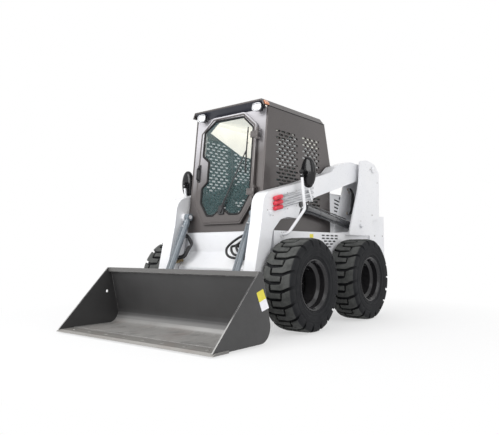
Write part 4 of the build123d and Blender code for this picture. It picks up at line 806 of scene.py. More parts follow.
def make_wiper():
    """Wiper's motor cover, sprung arm, blade and rubber."""
    cover, arm, rubber_edge = forms(3)
    outline = front_rows([(-0.035, 1.06), (0.04, 1.06), (0.036, 1.15), (-0.031, 1.15)])
    prism(cover, FRONT, rounded(outline, 0.014), DOOR_OUT, 0.0475, 0.004)
    lathe(cover, on_front(0, WIPER_FOOT, 0.044), [(0, 0.016), (0.005, 0.016), (0.008, 0.013), (0.008, 0.008),
                                                  (0.0115, 0.0075), (0.0115, 0)], 24)
    for x, height in ((-0.023, 1.07), (0.027, 1.07), (0.0025, 1.14)):
        lathe(cover, on_front(x, height, 0.0475), [(0, 0.004), (0.0015, 0.0038), (0.002, 0)], 12)
    piece("wiper_motor_cover", cover, "cab_door", "black_plastic", bevel=0.0008, angle=40)

    foot, head = vec(0, up(WIPER_FOOT), 0), vec(WIPER_X, up(WIPER_HEAD), 0)
    along = (head - foot).normalized()
    across = vec(-along.y, along.x, 0)
    shape = [(-0.016, 0.013), (0.02, 0.014), (0.15, 0.0095), (0.165, 0.007), (0.56, 0.0048),
             ((head - foot).length, 0.004)]
    left = [tuple((foot + along * step + across * half)[:2]) for step, half in shape]
    right = [tuple((foot + along * step - across * half)[:2]) for step, half in reversed(shape)]
    prism(arm, FRONT, right + left, 0.0495, 0.0555, 0.001)
    tube(arm, [FRONT @ (foot + along * step + vec(0, 0, 0.056)) for step in (0.035, 0.15)], 0.0035, 10)
    low, high = up(1.45), up(1.89)
    blade = [(WIPER_X, low, 0.036), (WIPER_X, (low + high) / 2, 0.04), (WIPER_X, high, 0.036)]
    tube(arm, [FRONT @ point for point in curve_points(blade, 6)], 0.0042, 8)
    for share in (0.1, 0.35, 0.65, 0.9):
        claw = low + share * (high - low)
        box(arm, (WIPER_X - 0.006, claw - 0.01, 0.03), (WIPER_X + 0.006, claw + 0.01, 0.0405), FRONT, 0.0015)
    box(arm, (WIPER_X - 0.0055, head.y - 0.02, 0.04), (WIPER_X + 0.0055, head.y + 0.016, 0.05), FRONT, 0.001)
    piece("wiper_arm", arm, "cab_door", "black_plastic", bevel=0.0005, angle=40)
    half = [(-0.003, 0.0325), (-0.0025, 0.03), (-0.0008, 0.0292), (-0.0006, 0.0275)]
    section = [(WIPER_X + x, out) for x, out in half] + [(WIPER_X - x, out) for x, out in reversed(half)]
    prism(rubber_edge, FRONT @ Matrix.Rotation(math.radians(90), 4, "X"), section, -high, -low)
    piece("wiper_rubber", rubber_edge, "cab_door", "hose_rubber", "seal_rubber", angle=30)


def make_lamps():
    """Work lamps with ribbed lenses under the visor."""
    housings, lenses, backs = forms(3)
    middle_y = up(LAMP_HEIGHT)
    for x in (0.38, -0.33):
        corners = [(x - 0.045, 2.024), (x + 0.045, 2.024), (x + 0.045, 2.09), (x - 0.045, 2.09)]
        body = rounded(front_rows(corners), 0.031, 9)
        prism(backs, FRONT, body, 0.0445, 0.07)
        strip(housings, FRONT, body, [(0, 0.07), (0, 0.08), (-0.002, 0.0838), (-0.005, 0.0838), (-0.0065, 0.079),
                                      (-0.0065, 0.073)])
        back = [(x + 0.62 * (px - x), middle_y + 0.62 * (py - middle_y)) for px, py in body]
        prism(backs, FRONT, back, 0.0425, 0.045)
        for fin in range(5):
            fin_x = x - 0.03 + 0.015 * fin
            box(backs, (fin_x - 0.0015, up(2.034), 0.0425), (fin_x + 0.0015, up(2.082), 0.045), FRONT)
        for foot_x in (x - 0.018, x + 0.018):
            box(backs, (foot_x - 0.0015, up(2.034), 0.002), (foot_x + 0.0015, up(2.052), 0.043), FRONT)
        rings = []
        for scale, out in ((1, 0.0765), (0.72, 0.0795), (0.4, 0.0812)):
            ring = [(x + scale * 0.9 * (px - x), middle_y + scale * 0.86 * (py - middle_y)) for px, py in body]
            rings.append([lenses.verts.new(FRONT @ vec(*point, out)) for point in ring])
        for low, high in zip(rings, rings[1:]):
            bridge(lenses, low, high)
        lenses.faces.new(rings[-1])
    made = piece("work_lamp_housings", housings, "root", "lamp_housing", bevel=0.0006, angle=40)
    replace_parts(made, "work_lamps")
    piece("work_lamp_bodies", backs, "root", "black_plastic", bevel=0.0006, angle=40)
    piece("work_lamp_lenses", lenses, "root", "lamp_housing", "lamp_lens", angle=60)


make_door()
make_handle()
make_wiper()
make_lamps()


# ======================= mirrors =======================
MIRROR_Z = 1.4523
BALL = 0.0225


def make_mirrors():
    """Oval gloss heads on ball joints, with the glass to the rear."""
    shells, glasses, joints = forms(3)
    for sign, stalk_x, bend_y in ((1, 0.7, -0.19), (-1, 0.77, -0.265)):
        middle = (sign * (stalk_x + 0.025), bend_y + 0.02, MIRROR_Z)
        oval = Matrix.Translation(middle) @ UPRIGHT @ Matrix.Diagonal((0.075, 0.147, 0.82, 1))
        lathe(shells, oval, [(-0.029, 0.88), (-0.029, 0.92), (-0.0335, 0.945), (-0.0335, 0.975), (-0.028, 0.998),
                             (-0.012, 1), (0.003, 0.985), (0.015, 0.93), (0.024, 0.82), (0.03, 0.64),
                             (0.033, 0.42), (0.0338, 0.2), (0.034, 0)], 56)
        lathe(glasses, oval, [(-0.03, 0.905), (-0.0318, 0.6), (-0.0325, 0.3), (-0.0327, 0)], 56)
        ball = vec(sign * stalk_x, bend_y - 0.046, MIRROR_Z)
        turns = [math.pi * step / 12 for step in range(12, -1, -1)]
        lathe(joints, at(ball), [(BALL * math.cos(turn), BALL * math.sin(turn)) for turn in turns], 28)
        lathe(joints, at(ball, (0, 1, 0)), [(0.012, 0), (0.014, 0.015), (0.024, 0.014), (0.034, 0.02), (0.044, 0.021),
                                            (0.046, 0)], 24)
        stem = at(ball + vec(0, 0.0035, -0.0215), (0, -0.1405, 0.99))
        lathe(joints, stem, [(-0.03, 0.0142), (-0.03, 0.0175), (-0.026, 0.0185), (-0.004, 0.0185), (0, 0.015),
                             (0.006, 0.013), (0.006, 0)], 28)
    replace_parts(piece("mirror_shells", shells, "root", "black_plastic", "gloss_black", angle=50), "mirrors")
    piece("mirror_glasses", glasses, "root", "rod_chrome", "mirror_glass", angle=60)
    piece("mirror_ball_joints", joints, "root", "black_plastic", "gloss_black", angle=50)
    bolts("mirror_foot_bolts", "root", [((sign * 0.611, -0.43 + y, 0.866 + z), (sign, 0, 0), 0.007)
                                        for sign in SIGNS for turn, y, z in around(4, 0.0225, math.pi / 4)])


make_mirrors()


# ======================= arms =======================
ARM_OUTER = 0.603
ARM_INNER = 0.475
ARM_PIVOT = (1.35, 1.65)    # pins, as (y, z)
LIFT_BASE, LIFT_EYE = (1.03, 0.985), (-0.12, 1.16)
TILT_BASE, TILT_EYE = (-0.605, 1.055), (-0.945, 0.35)
COUPLER_PIN = (-0.85, 0.205)
PIPE_X = ARM_OUTER + 0.018
PIPE_FRONT = -0.425
PIPE_RISE = 0.235           # slope of the auxiliary pipes along the arm
SADDLES = (0.045, 0.19)     # behind the pipes' front ends
CLAMP_MIDDLE = Vector((PIPE_X + 0.001, 0.02, 1.274))
CLAMP_LEAN = Vector((0, 0.07, -0.145)).normalized()
HOSE = 0.0115


def make_pipes():
    """Three auxiliary pipes on the left arm and their red dust caps."""
    pipes, caps = forms(2)
    along = vec(0, 1, PIPE_RISE).normalized()
    ribs = [(0.014 + 0.013 * rib + step, reach) for rib in range(5)
            for step, reach in ((0.001, 0.0175), (0.006, 0.0175), (0.007, 0.02), (0.013, 0.02))]
    cap_profile = [(0, 0), (0.001, 0.014), (0.006, 0.0185), (0.014, 0.02), *ribs, (0.082, 0.0208), (0.116, 0.0208),
                   (0.119, 0.016), (0.119, 0)]
    for height in (1.216, 1.17, 1.124):
        front_end = vec(PIPE_X, PIPE_FRONT, height)
        rear_end = front_end + vec(0, 0.5, 0.5 * PIPE_RISE)
        route = [front_end, front_end + along * 0.25, rear_end - along * 0.03, rear_end,
                 rear_end + along * 0.018 + vec(-0.01, 0, 0), rear_end + along * 0.022 + vec(-0.02, 0, 0)]
        tube(pipes, route, 0.0118, 16, 6)
        lathe(pipes, at(front_end - along * 0.03, along), [(0, 0), (0, 0.0175), (0.026, 0.0175), (0.03, 0.0145),
                                                           (0.062, 0.014), (0.064, 0.0118)], 6)
        lathe(caps, at(front_end - along * 0.148, along), cap_profile)
    lanyard = [(0.004, -0.56, 1.176), (0.01, -0.548, 1.13), (0.006, -0.53, 1.11), (-0.002, -0.5, 1.116),
               (-0.006, -0.47, 1.128)]
    tube(caps, [(PIPE_X + out, y, z) for out, y, z in lanyard], 0.0022, 8, 6)
    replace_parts(piece("auxiliary_pipes", pipes, "arms", "zinc_pipe", angle=40), "arm_pipes")
    piece("pipe_dust_caps", caps, "arms", "lamp_housing", "red_plastic")


def make_clamps():
    """Diagonal clamp of the auxiliary pipes, their saddles and the bolts."""
    clamps, saddles = forms(2)
    y, z = CLAMP_LEAN.yz
    face = Matrix.Translation(CLAMP_MIDDLE) @ Matrix(((0, 0, 1, 0), (y, -z, 0, 0), (z, y, 0, 0), (0, 0, 0, 1)))
    slab(clamps, face, 0, 0, 0.088, 0.014, -0.0185, -0.015, 0.01)
    slab(clamps, face, 0, 0, 0.088, 0.014, 0.0065, 0.0105, 0.01, 0.001)
    for shift in (-0.047, -0.001, 0.045):
        slab(clamps, face, shift, 0, 0.017, 0.012, -0.0155, 0.007, 0.005, 0.001)
    piece("pipe_clamp", clamps, "arms", "white_paint", bevel=0.0008, angle=40)
    outward = (1, 0, 0)
    rows = [(tuple(CLAMP_MIDDLE + CLAMP_LEAN * shift + vec(0.0105, 0, 0)), outward, 0.01) for shift in (-0.076, 0.076)]
    for shift in SADDLES:
        y, z = PIPE_FRONT + shift, 1.17 + shift * PIPE_RISE
        rows += [((PIPE_X + 0.004, y + 0.015, z + rise), outward, 0.008) for rise in (0.07, -0.077)]
        outline = [(y, z - 0.088), (y + 0.03, z - 0.082), (y + 0.03, z + 0.09), (y, z + 0.084)]
        panel(saddles, outline, 0.006, ARM_OUTER, ARM_OUTER + 0.0025)
        for middle in (z - 0.046, z, z + 0.046):
            lobe = [(y, middle - 0.016), (y + 0.03, middle - 0.01), (y + 0.03, middle + 0.022), (y, middle + 0.016)]
            panel(saddles, lobe, 0.004, ARM_OUTER + 0.0015, PIPE_X - 0.007, 0.001)
    bolts("pipe_clamp_bolts", "arms", rows)
    piece("pipe_saddles", saddles, "arms", "white_paint", bevel=0.0006, angle=40)


def pin_head(bm, place, direction, radius):
    """End of a pivot pin: a stepped round head with a keeper plate's groove and a grease nipple."""
    head = ((0, 1.25), (0.004, 1.25), (0.0055, 1.2), (0.0055, 1.02), (0.012, 1), (0.0145, 0.92), (0.0145, 0.35),
            (0.0125, 0.3))
    nipple = [(0.0125, 0.0055), (0.018, 0.0045), (0.021, 0.0032), (0.0215, 0)]
    lathe(bm, at(place, direction), [(along, radius * share) for along, share in head] + nipple, 40)


def make_pins():
    """Pin heads and their keeper bolts on the arms, uprights and coupler."""
    fixed, carried, lifted, tipped = forms(4)
    fixed_bolts, carried_bolts, tipped_bolts = [], [], []
    for sign in SIGNS:
        out = (sign, 0, 0)
        for bm, x, pin, radius in ((fixed, 0.668, ARM_PIVOT, 0.03), (fixed, 0.666, LIFT_BASE, 0.02),
                                   (carried, 0.609, LIFT_EYE, 0.026), (lifted, ARM_OUTER, TILT_BASE, 0.022),
                                   (tipped, 0.62, COUPLER_PIN, 0.032)):
            pin_head(bm, (sign * x, *pin), out, radius)
        for gathered, x, rows in (
                (fixed_bolts, 0.66, ((1.412, 1.65, 0.011), (1.288, 1.65, 0.011), (1.47, 1.51, 0.01),
                                     (1.318, 1.12, 0.012), (1.03, 1.04, 0.009))),
                (fixed_bolts, 0.62, ((1.465, 0.882, 0.013), (1.673, 0.882, 0.013))),
                (carried_bolts, ARM_OUTER, ((-0.07, 1.14, 0.0085), (-0.074, 1.19, 0.0085), (-0.565, 1.033, 0.008),
                                            (-0.645, 1.077, 0.008))),
                (tipped_bolts, 0.62, ((-0.9, 0.247, 0.009),))):
            gathered += [((sign * x, y, z), out, size) for y, z, size in rows]
    piece("upright_pin_heads", fixed, "root", "white_paint")
    piece("arm_pin_heads", carried, "arms", "dark_steel")
    piece("tilt_pin_heads", lifted, "arms", "white_paint")
    piece("coupler_pin_heads", tipped, "bucket", "dark_steel")
    bolts("upright_bolts", "root", fixed_bolts)
    bolts("arm_bolts", "arms", carried_bolts)
    bolts("coupler_bolts", "bucket", tipped_bolts)


def make_hoses():
    """Hose loops inside the arms and on the uprights, with the crimped ferrules and nuts at their ends."""
    arm_loops, upright_loops = forms(2)
    ends = {"arms": [], "root": []}
    for sign, reaches in ((1, (0.168, 0.21, 0.252)), (-1, (0.318, 0.35))):
        for index, reach in enumerate(reaches):
            shift, sweep = 0.022 * index, ARM_INNER - reach
            head, foot = (-0.625 + shift, 0.878 - shift), (-0.727 + shift, 0.643 + shift)
            ends["arms"] += [((sign * ARM_INNER, *spot), (-sign, 0, 0)) for spot in (head, foot)]
            route = [(inward, end[0] + y, end[1] + z) for end, inward, y, z in (
                (head, 0, 0, 0), (head, 0.05, 0, 0), (head, 0.55 * sweep, -0.004, -0.022),
                (head, 0.93 * sweep, -0.02, -0.085), (foot, 0.99 * sweep, 0.026, 0.085),
                (foot, 0.8 * sweep, 0.004, 0.02), (foot, 0.05, 0, 0), (foot, 0, 0, 0))]
            tube(arm_loops, [(sign * (ARM_INNER - inward), y, z) for inward, y, z in route], HOSE, 16, 8)
    for sign in SIGNS:
        for shift in (0, 0.03):
            head, foot = (1.098 + shift, 1.414 - shift), (1.074 + shift, 1.136)
            ends["root"] += [((sign * 0.467, *spot), (sign, 0, 0)) for spot in (head, foot)]
            route = [(sign * (0.467 + out), end[0] + y, end[1] + z) for end, out, y, z in (
                (head, 0, 0, 0), (head, 0.036, 0, 0), (head, 0.056, -0.002, -0.035), (head, 0.059, -0.006, -0.11),
                (foot, 0.059, 0.003, 0.09), (foot, 0.056, 0, 0.035), (foot, 0.036, 0, 0), (foot, 0, 0, 0))]
            tube(upright_loops, route, HOSE, 16, 8)
    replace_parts(piece("arm_hose_loops", arm_loops, "arms", "hose_rubber", angle=50), "arm_hoses")
    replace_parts(piece("upright_hose_loops", upright_loops, "root", "hose_rubber", angle=50), "upright_hoses")
    for body, places in ends.items():
        nuts, sleeves = forms(2)
        for place, direction in places:
            knob(nuts, at(place, direction), [(0, 0.0145), (0.01, 0.0145), (0.012, 0.013)], 6)
            lathe(sleeves, at(place, direction), [(0.011, 0), (0.011, 0.0125), (0.014, 0.0136), (0.017, 0.0125),
                                                  (0.02, 0.0136), (0.023, 0.0125), (0.026, 0.0136), (0.032, 0.0128),
                                                  (0.033, 0.0112)], 24)
        piece(f"hose_nuts_{body}", nuts, body, "zinc_pipe", "brass_coupler", bevel=0.0004, angle=30, segments=1)
        piece(f"hose_ferrules_{body}", sleeves, body, "zinc_pipe", angle=50)


def make_cylinder_trim(body, base, eye, mid_x, radius, back, port, slot):
    """Gland nut, ports with elbows and a hard line on each of a pair of cylinders; the gland is back from the eye."""
    rings, lines, nuts = forms(3)
    gland = math.dist(base, eye) - back
    heading = vec(0, eye[0] - base[0], eye[1] - base[1]).normalized()
    rise = -heading.cross(vec(1, 0, 0)).normalized()
    rise = rise if rise.z > 0 else -rise
    for x in (mid_x, -mid_x):
        root = vec(x, *base)
        spot = at(root + heading * gland, heading)
        lathe(rings, spot, [(-0.066, radius), (-0.064, radius + 0.0062), (-0.012, radius + 0.0062),
                            (-0.01, radius + 0.0045), (0, radius + 0.0045), (0.004, radius - 0.001),
                            (0.004, radius * 0.64), (0.007, radius * 0.62)], 48)
        for step in range(6):
            mark = spot @ Matrix.Rotation(math.pi / 3 * step, 4, "Z") @ Matrix.Translation((radius + 0.0058, 0, -0.038))
            box(rings, (-0.001, -0.004, -0.016), (0.0018, 0.004, 0.016), mark, 0.0005)
        lathe(rings, at(root + heading * (port - 0.035), heading),
              [(0, radius), (0.002, radius + 0.003), (0.012, radius + 0.003), (0.014, radius)], 48)
        for distance in (port, gland - 0.04):
            boss = at(root + heading * distance + rise * (radius - 0.002), rise)
            lathe(nuts, boss, [(0, 0.013), (0.01, 0.013), (0.011, 0.0115), (0.011, 0)], 24)
            knob(nuts, boss, [(0.01, 0.0095), (0.018, 0.0095), (0.019, 0.008)], 6)
        start, end = (root + heading * distance + rise * (radius + 0.012) for distance in (port, gland - 0.04))
        away = rise * 0.004
        route = [start, start + away + heading * 0.012, start + away + heading * 0.1, (start + end) / 2 + away,
                 end + away - heading * 0.1, end + away - heading * 0.012, end]
        tube(lines, route, 0.0052, 12, 5)
        for share in (0.3, 0.7):
            lathe(lines, at(root + heading * (port + share * (gland - port)), heading),
                  [(-0.006, radius), (-0.006, radius + 0.0022), (0.006, radius + 0.0022), (0.006, radius)], 40)
    piece(f"{body}_rings", rings, body, slot, angle=32)
    piece(f"{body}_lines", lines, body, slot, angle=50)
    piece(f"{body}_ports", nuts, body, "zinc_pipe", bevel=0.0004, angle=30, segments=1)


make_pipes()
make_clamps()
make_pins()
make_hoses()
make_cylinder_trim("lift_barrels", LIFT_BASE, LIFT_EYE, 0.539, 0.04, 0.18, 0.13, "cylinder_paint")
make_cylinder_trim("tilt_barrels", TILT_BASE, TILT_EYE, 0.415, 0.032, 0.128, 0.12, "blue_grey_paint")


# ======================= body and bucket details =======================
# slots of the side vents, as (middle of the first slot, height, slots)
VENT_ROWS = ((0.31, 0.868, 4), (0.31, 0.839, 4), (0.354, 0.81, 3), (0.386, 0.781, 2), (0.43, 0.752, 1))
BELLY_PLATES = ((-0.43, -0.08), (0.08, 0.64), (0.82, 1.36))
LABEL_X = (0.93, 0.9306)    # bucket labels, from its side to their face


def lean_place(foot, head, x=0):
    """Place on a leaning side line through (y, z) points: local x across, y up the line, z to the front."""
    rise = vec(0, head[0] - foot[0], head[1] - foot[1]).normalized()
    return Matrix(((1, 0, 0, x), (0, rise.y, -rise.z, foot[0]), (0, rise.z, rise.y, foot[1]), (0, 0, 0, 1)))


def plate(name, body, slot, look, place, outline, levels, radius, inset=0):
    """One flat plate with rounded corners."""
    bm = bmesh.new()
    prism(bm, place, rounded(outline, radius), *levels, inset)
    piece(name, bm, body, slot, look, bevel=0.0006, angle=40)


def make_body_details():
    """Dark sheets as painted shade in the vents, the visor's face painted dark as shade, gutters, roof bolts, belly and
    axle bolts, and the side label.
    """
    shade_sheets, gutters = forms(2)
    # painted shade: dark sheets at the bottom of the side vent slots and behind the engine louvres stand in for the
    # shade inside them
    for sign, inner in ((1, 0.5912), (-1, -0.593)):
        for first_y, height, count in VENT_ROWS:
            for slot in range(count):
                slit = rectangle(first_y + 0.088 * slot, height, 0.035, 0.0075)
                prism(shade_sheets, SIDEWAYS, slit, inner, inner + 0.0018)
        for row in range(5):
            z = 1.105 + 0.041 * row
            opening = [(0.8, z), (0.945, z - 0.024), (0.945, z - 0.006), (0.8, z + 0.018)]
            panel(shade_sheets, opening, 0, sign * 0.4405, sign * 0.4425)
        panel(gutters, [(-0.425, 2.077), (0.59, 2.077), (0.59, 2.084), (-0.425, 2.084)], 0, sign * 0.456, sign * 0.4665)
    piece("vent_shade_sheets", shade_sheets, "root", "black_plastic")
    piece("roof_gutters", gutters, "root", "cab_paint", "seal_rubber", bevel=0.001)
    # the visor's face is given a dark paint as painted shade, for the shade under the roof's overhang
    visor = lean_place((-0.4283, 2.061), (-0.4965, 2.1255))
    plate("visor_face", "root", "cab_paint", "visor_painted_shade", visor, rectangle(0, 0.0465, 0.424, 0.0455), (0.0004, 0.003),
          0.008, 0.001)
    rows = [((x, y, 2.1398), (0, 0, 1), 0.014) for x in (-0.385, 0.385) for y in (-0.4, -0.1, 0.2, 0.48)]
    bolts("roof_bolts", "root", rows, "cab_paint")
    rows = [((x, y, 0.209), (0, 0, -1), 0.014) for low, high in BELLY_PLATES
            for y in (low + 0.03, high - 0.03) for x in (-0.23, 0, 0.23)]
    for name, sign in WHEELS:
        low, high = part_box(f"rim_{name}")
        rows += [((sign * 0.615, (low.y + high.y) / 2 + y, AXLE_Z + z), (sign, 0, 0), 0.012)
                 for turn, y, z in around(8, 0.088, math.pi / 8)]
    bolts("belly_and_axle_bolts", "root", rows)
    plate("band_label", "root", "white_paint", "label_yellow", SIDEWAYS, rectangle(0.08, 0.86, 0.034, 0.018),
          (ARM_OUTER, ARM_OUTER + 0.0006), 0.003)
    top = [(-1.2335, 0.406), (-1.152, 0.431)]
    middle = [(-1.115, 0.357), (-1.2, 0.332)]
    foot = [(-1.077, 0.281), (-1.167, 0.26)]
    for name, look, outline in (("bucket_label_upper", "label_yellow", top + middle),
                                ("bucket_label_lower", "label_white", middle[::-1] + foot)):
        plate(name, "bucket", "bucket_paint", look, SIDEWAYS, outline, LABEL_X, 0.004)


def weld(bm, path, radius=0.0035):
    """Bead of overlapping ripples along a path."""
    points = [Vector(point) for point in path]
    rings, radii = [], []
    for start, end in zip(points, points[1:]):
        count = max(2, int((end - start).length / 0.006))
        for step in range(count):
            rings.append(start.lerp(end, step / count))
            radii.append(radius * (1 if len(rings) % 2 else 0.82))
    tube(bm, rings + [points[-1]], radii + [radius], 8)


def make_bucket_details():
    """Weld beads in the bucket's corners, plugged edge bolts, and the coupler's levers, wedges and bolts."""
    welds, edge_bolts, levers, grips, couplers = forms(5)
    corner = ((-1.56, 0.0305), (-1.156, 0.0305), (-1.11, 0.042), (-1.078, 0.072), (-1.067, 0.115), (-1.164, 0.545))
    for x in (0.9175, -0.9175):
        weld(welds, [(x, y, z) for y, z in corner])
    weld(welds, [(-0.915, -1.56, 0.0306), (0.915, -1.56, 0.0306)], 0.003)
    piece("bucket_welds", welds, "bucket", "bucket_paint", angle=50)
    for index in range(8):
        lathe(edge_bolts, at((-0.805 + 0.23 * index, -1.635, 0.03)),
              [(0, 0), (0.0002, 0.016), (0.0014, 0.0155), (0.0016, 0.008), (0.0008, 0.007), (0.0008, 0)], 24)
    piece("edge_bolts", edge_bolts, "bucket", "bucket_steel", "bolt_zinc", angle=30)
    back = lean_place((-1.042, 0.03), (-1.167, 0.553))
    rearward = back.to_3x3() @ vec(0, 0, -1)
    rows = []
    for sign in SIGNS:
        x = sign * 0.25
        knob(levers, at(back @ vec(x, 0.395, -0.0358), rearward), [(0, 0.03), (0.012, 0.03), (0.014, 0.026),
                                                                  (0.014, 0.013), (0.03, 0.013), (0.032, 0.01)], 28)
        route = [back @ vec(x + sign * out, rise, depth) for out, rise, depth in (
            (0, 0.395, -0.056), (0.02, 0.43, -0.058), (0.045, 0.47, -0.06), (0.05, 0.515, -0.062))]
        tube(levers, route, 0.0075, 12, 5)
        tube(grips, [route[-1] - (route[-1] - route[-2]) * 0.9, route[-1]], 0.0115)
        box(levers, (x - 0.022, 0.135, -0.052), (x + 0.022, 0.36, -0.0358), back, 0.003)
        rows += [(back @ vec(place_x, height, -0.036), rearward, 0.013)
                 for height in (0.18, 0.32) for place_x in (x + 0.075, x - 0.075)]
    piece("coupler_levers", levers, "bucket", "dark_steel", bevel=0.001)
    piece("coupler_grips", grips, "bucket", "black_plastic", angle=50)
    bolts("coupler_plate_bolts", "bucket", rows)
    for y in (-0.672, -0.712):
        knob(couplers, at((-ARM_INNER, y, 0.62 + 0.3 * (y + 0.69)), (1, 0, 0)),
             [(0, 0.017), (0.01, 0.017), (0.012, 0.0135), (0.026, 0.0135), (0.028, 0.0155), (0.044, 0.0155),
              (0.046, 0.01), (0.04, 0.009)], 6)
    piece("front_couplers", couplers, "arms", "zinc_pipe", "brass_coupler", bevel=0.0006, angle=30)


# ======================= cab inside =======================
LENGTHWISE = Matrix(((1, 0, 0, 0), (0, 0, 1, 0), (0, 1, 0, 0), (0, 0, 0, 1)))   # local z to the rear
CUSHION_HALF, CUSHION_THICK = 0.215, 0.052
SEAM_X = 0.14               # long seams, from the middle
SEAM_DEPTH, SEAM_WIDTH = 0.01, 0.009
SWELL_LIMIT = 0.014
CLOTH_FRAMES = 20


def make_trim():
    """Pale headliner and upper wall trim, glowing as painted light, and the dome lamp."""
    liner, lamp = forms(2)
    wall = [(-0.402, 2.07), (-0.392, 2), (-0.228, 1.962), (0.247, 1.796), (0.467, 1.786), (0.6, 1.786), (0.56, 2.07)]
    for sign in SIGNS:
        panel(liner, wall, 0.02, sign * 0.43, sign * 0.4372)
        cove = [(sign * x, z) for x, z in ((0.43, 2.064), (0.4372, 2.064), (0.413, 2.108), (0.402, 2.1))]
        prism(liner, LENGTHWISE, cove, -0.405, 0.555)
    slab(liner, HERE, 0, 0.07, 0.415, 0.485, 2.098, 2.108, 0.03)
    for sign in SIGNS:
        slab(liner, HERE, sign * 0.215, 0.08, 0.17, 0.36, 2.09, 2.099, 0.05, 0.006)
    piece("headliner", liner, "root", "lamp_housing", "headliner", bevel=0.002)
    lathe(lamp, at((0, -0.2, 2.098), (0, 0, -1)), [(0, 0), (0, 0.045), (0.008, 0.045), (0.012, 0.04), (0.014, 0.02),
                                                   (0.0145, 0)])
    piece("dome_lamp", lamp, "root", "lamp_housing", "lamp_lens", angle=40)


def make_mats():
    """Ribbed floor mats, and the pedals with their pads."""
    mats, pedals, pads = forms(3)
    for index in range(9):
        slab(mats, HERE, 0, -0.49 + 0.048 * index, 0.395, 0.016, 0.4735, 0.4775, 0.004, 0.0015, 2)
    slab(mats, HERE, 0, -0.293, 0.405, 0.228, 0.4701, 0.474, 0.02, 0.001)
    for index in range(14):
        slab(mats, HERE, -0.4 + 0.0615 * index, 0.16, 0.014, 0.2, 0.9165, 0.9195, 0.004, 0.001, 2)
    slab(mats, HERE, 0, 0.16, 0.425, 0.215, 0.9121, 0.9168, 0.02, 0.001)
    piece("floor_mats", mats, "root", "rubber_mat", bevel=0.0006)
    for x in (0.21, -0.21):
        slope = lean_place((-0.41, 0.5), (-0.48, 0.62), x)
        slab(pedals, slope, 0, 0.06, 0.055, 0.085, -0.004, 0.004, 0.012, 0.001)
        tube(pedals, [slope @ vec(0, 0.06, 0), (x, -0.47, 0.53), (x, -0.5, 0.475)], 0.01, 12, 4)
        tube(pedals, [(x - 0.04, -0.5, 0.482), (x + 0.04, -0.5, 0.482)], 0.012)
        for rib in range(7):
            slab(pads, slope, 0, -0.012 + 0.024 * rib, 0.048, 0.006, -0.0075, -0.0039, 0.003, 0.001, 2)
    piece("pedals", pedals, "root", "dark_steel", bevel=0.0008, angle=40)
    piece("pedal_pads", pads, "root", "rubber_mat", angle=40)


def settled(made):
    """Object as its modifiers leave it."""
    return made.evaluated_get(bpy.context.evaluated_depsgraph_get())


def cushion(name, place, length, channels):
    """Padded cushion, swelled by a cloth simulation, with sewn channels pressed into its face."""
    bm = bmesh.new()
    outline = [(-CUSHION_HALF, 0), (CUSHION_HALF, 0), (CUSHION_HALF, length), (-CUSHION_HALF, length)]
    prism(bm, HERE, rounded(outline, 0.055, 8), 0, CUSHION_THICK, 0.012)
    mesh = bpy.data.meshes.new(name)
    bmesh.ops.recalc_face_normals(bm, faces=bm.faces)
    bm.to_mesh(mesh)
    bm.free()
    made = bpy.data.objects.new(name, mesh)
    scene.collection.objects.link(made)
    grid = made.modifiers.new("grid", "REMESH")
    grid.mode, grid.voxel_size = "VOXEL", 0.006
    made.data = bpy.data.meshes.new_from_object(settled(made))
    made.modifiers.clear()
    rest = [vert.co.copy() for vert in made.data.vertices]
    cloth = made.modifiers.new("cloth", "CLOTH")
    cloth.settings.use_pressure = True
    cloth.settings.uniform_pressure_force = 4
    cloth.settings.effector_weights.gravity = 0
    cloth.point_cache.frame_start, cloth.point_cache.frame_end = 1, CLOTH_FRAMES
    for step in range(1, CLOTH_FRAMES + 1):
        scene.frame_set(step)
    moved = [vert.co.copy() for vert in settled(made).to_mesh().vertices]
    made.modifiers.clear()
    scene.frame_set(1)
    shift = sum((after - before for before, after in zip(rest, moved)), Vector()) / len(rest)
    for vert, before, after in zip(made.data.vertices, rest, moved):
        step = after - before - shift
        if step.length > SWELL_LIMIT:
            step *= SWELL_LIMIT / step.length
        vert.co = before + step
    for vert in made.data.vertices:
        if vert.co.z > 0.4 * CUSHION_THICK:
            gaps = [abs(abs(vert.co.x) - SEAM_X)]
            if abs(vert.co.x) < SEAM_X + 0.004:
                gaps += [abs(vert.co.y - line) for line in channels]
            vert.co.z -= SEAM_DEPTH * math.exp(-(min(gaps) / SEAM_WIDTH) ** 2)
    made.data.transform(place)
    made.data.materials.append(LOOKS["seat_vinyl"])
    made.data.shade_smooth()
    smooth = made.modifiers.new("smooth", "SUBSURF")
    smooth.levels = smooth.render_levels = 1
    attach(made, "root")


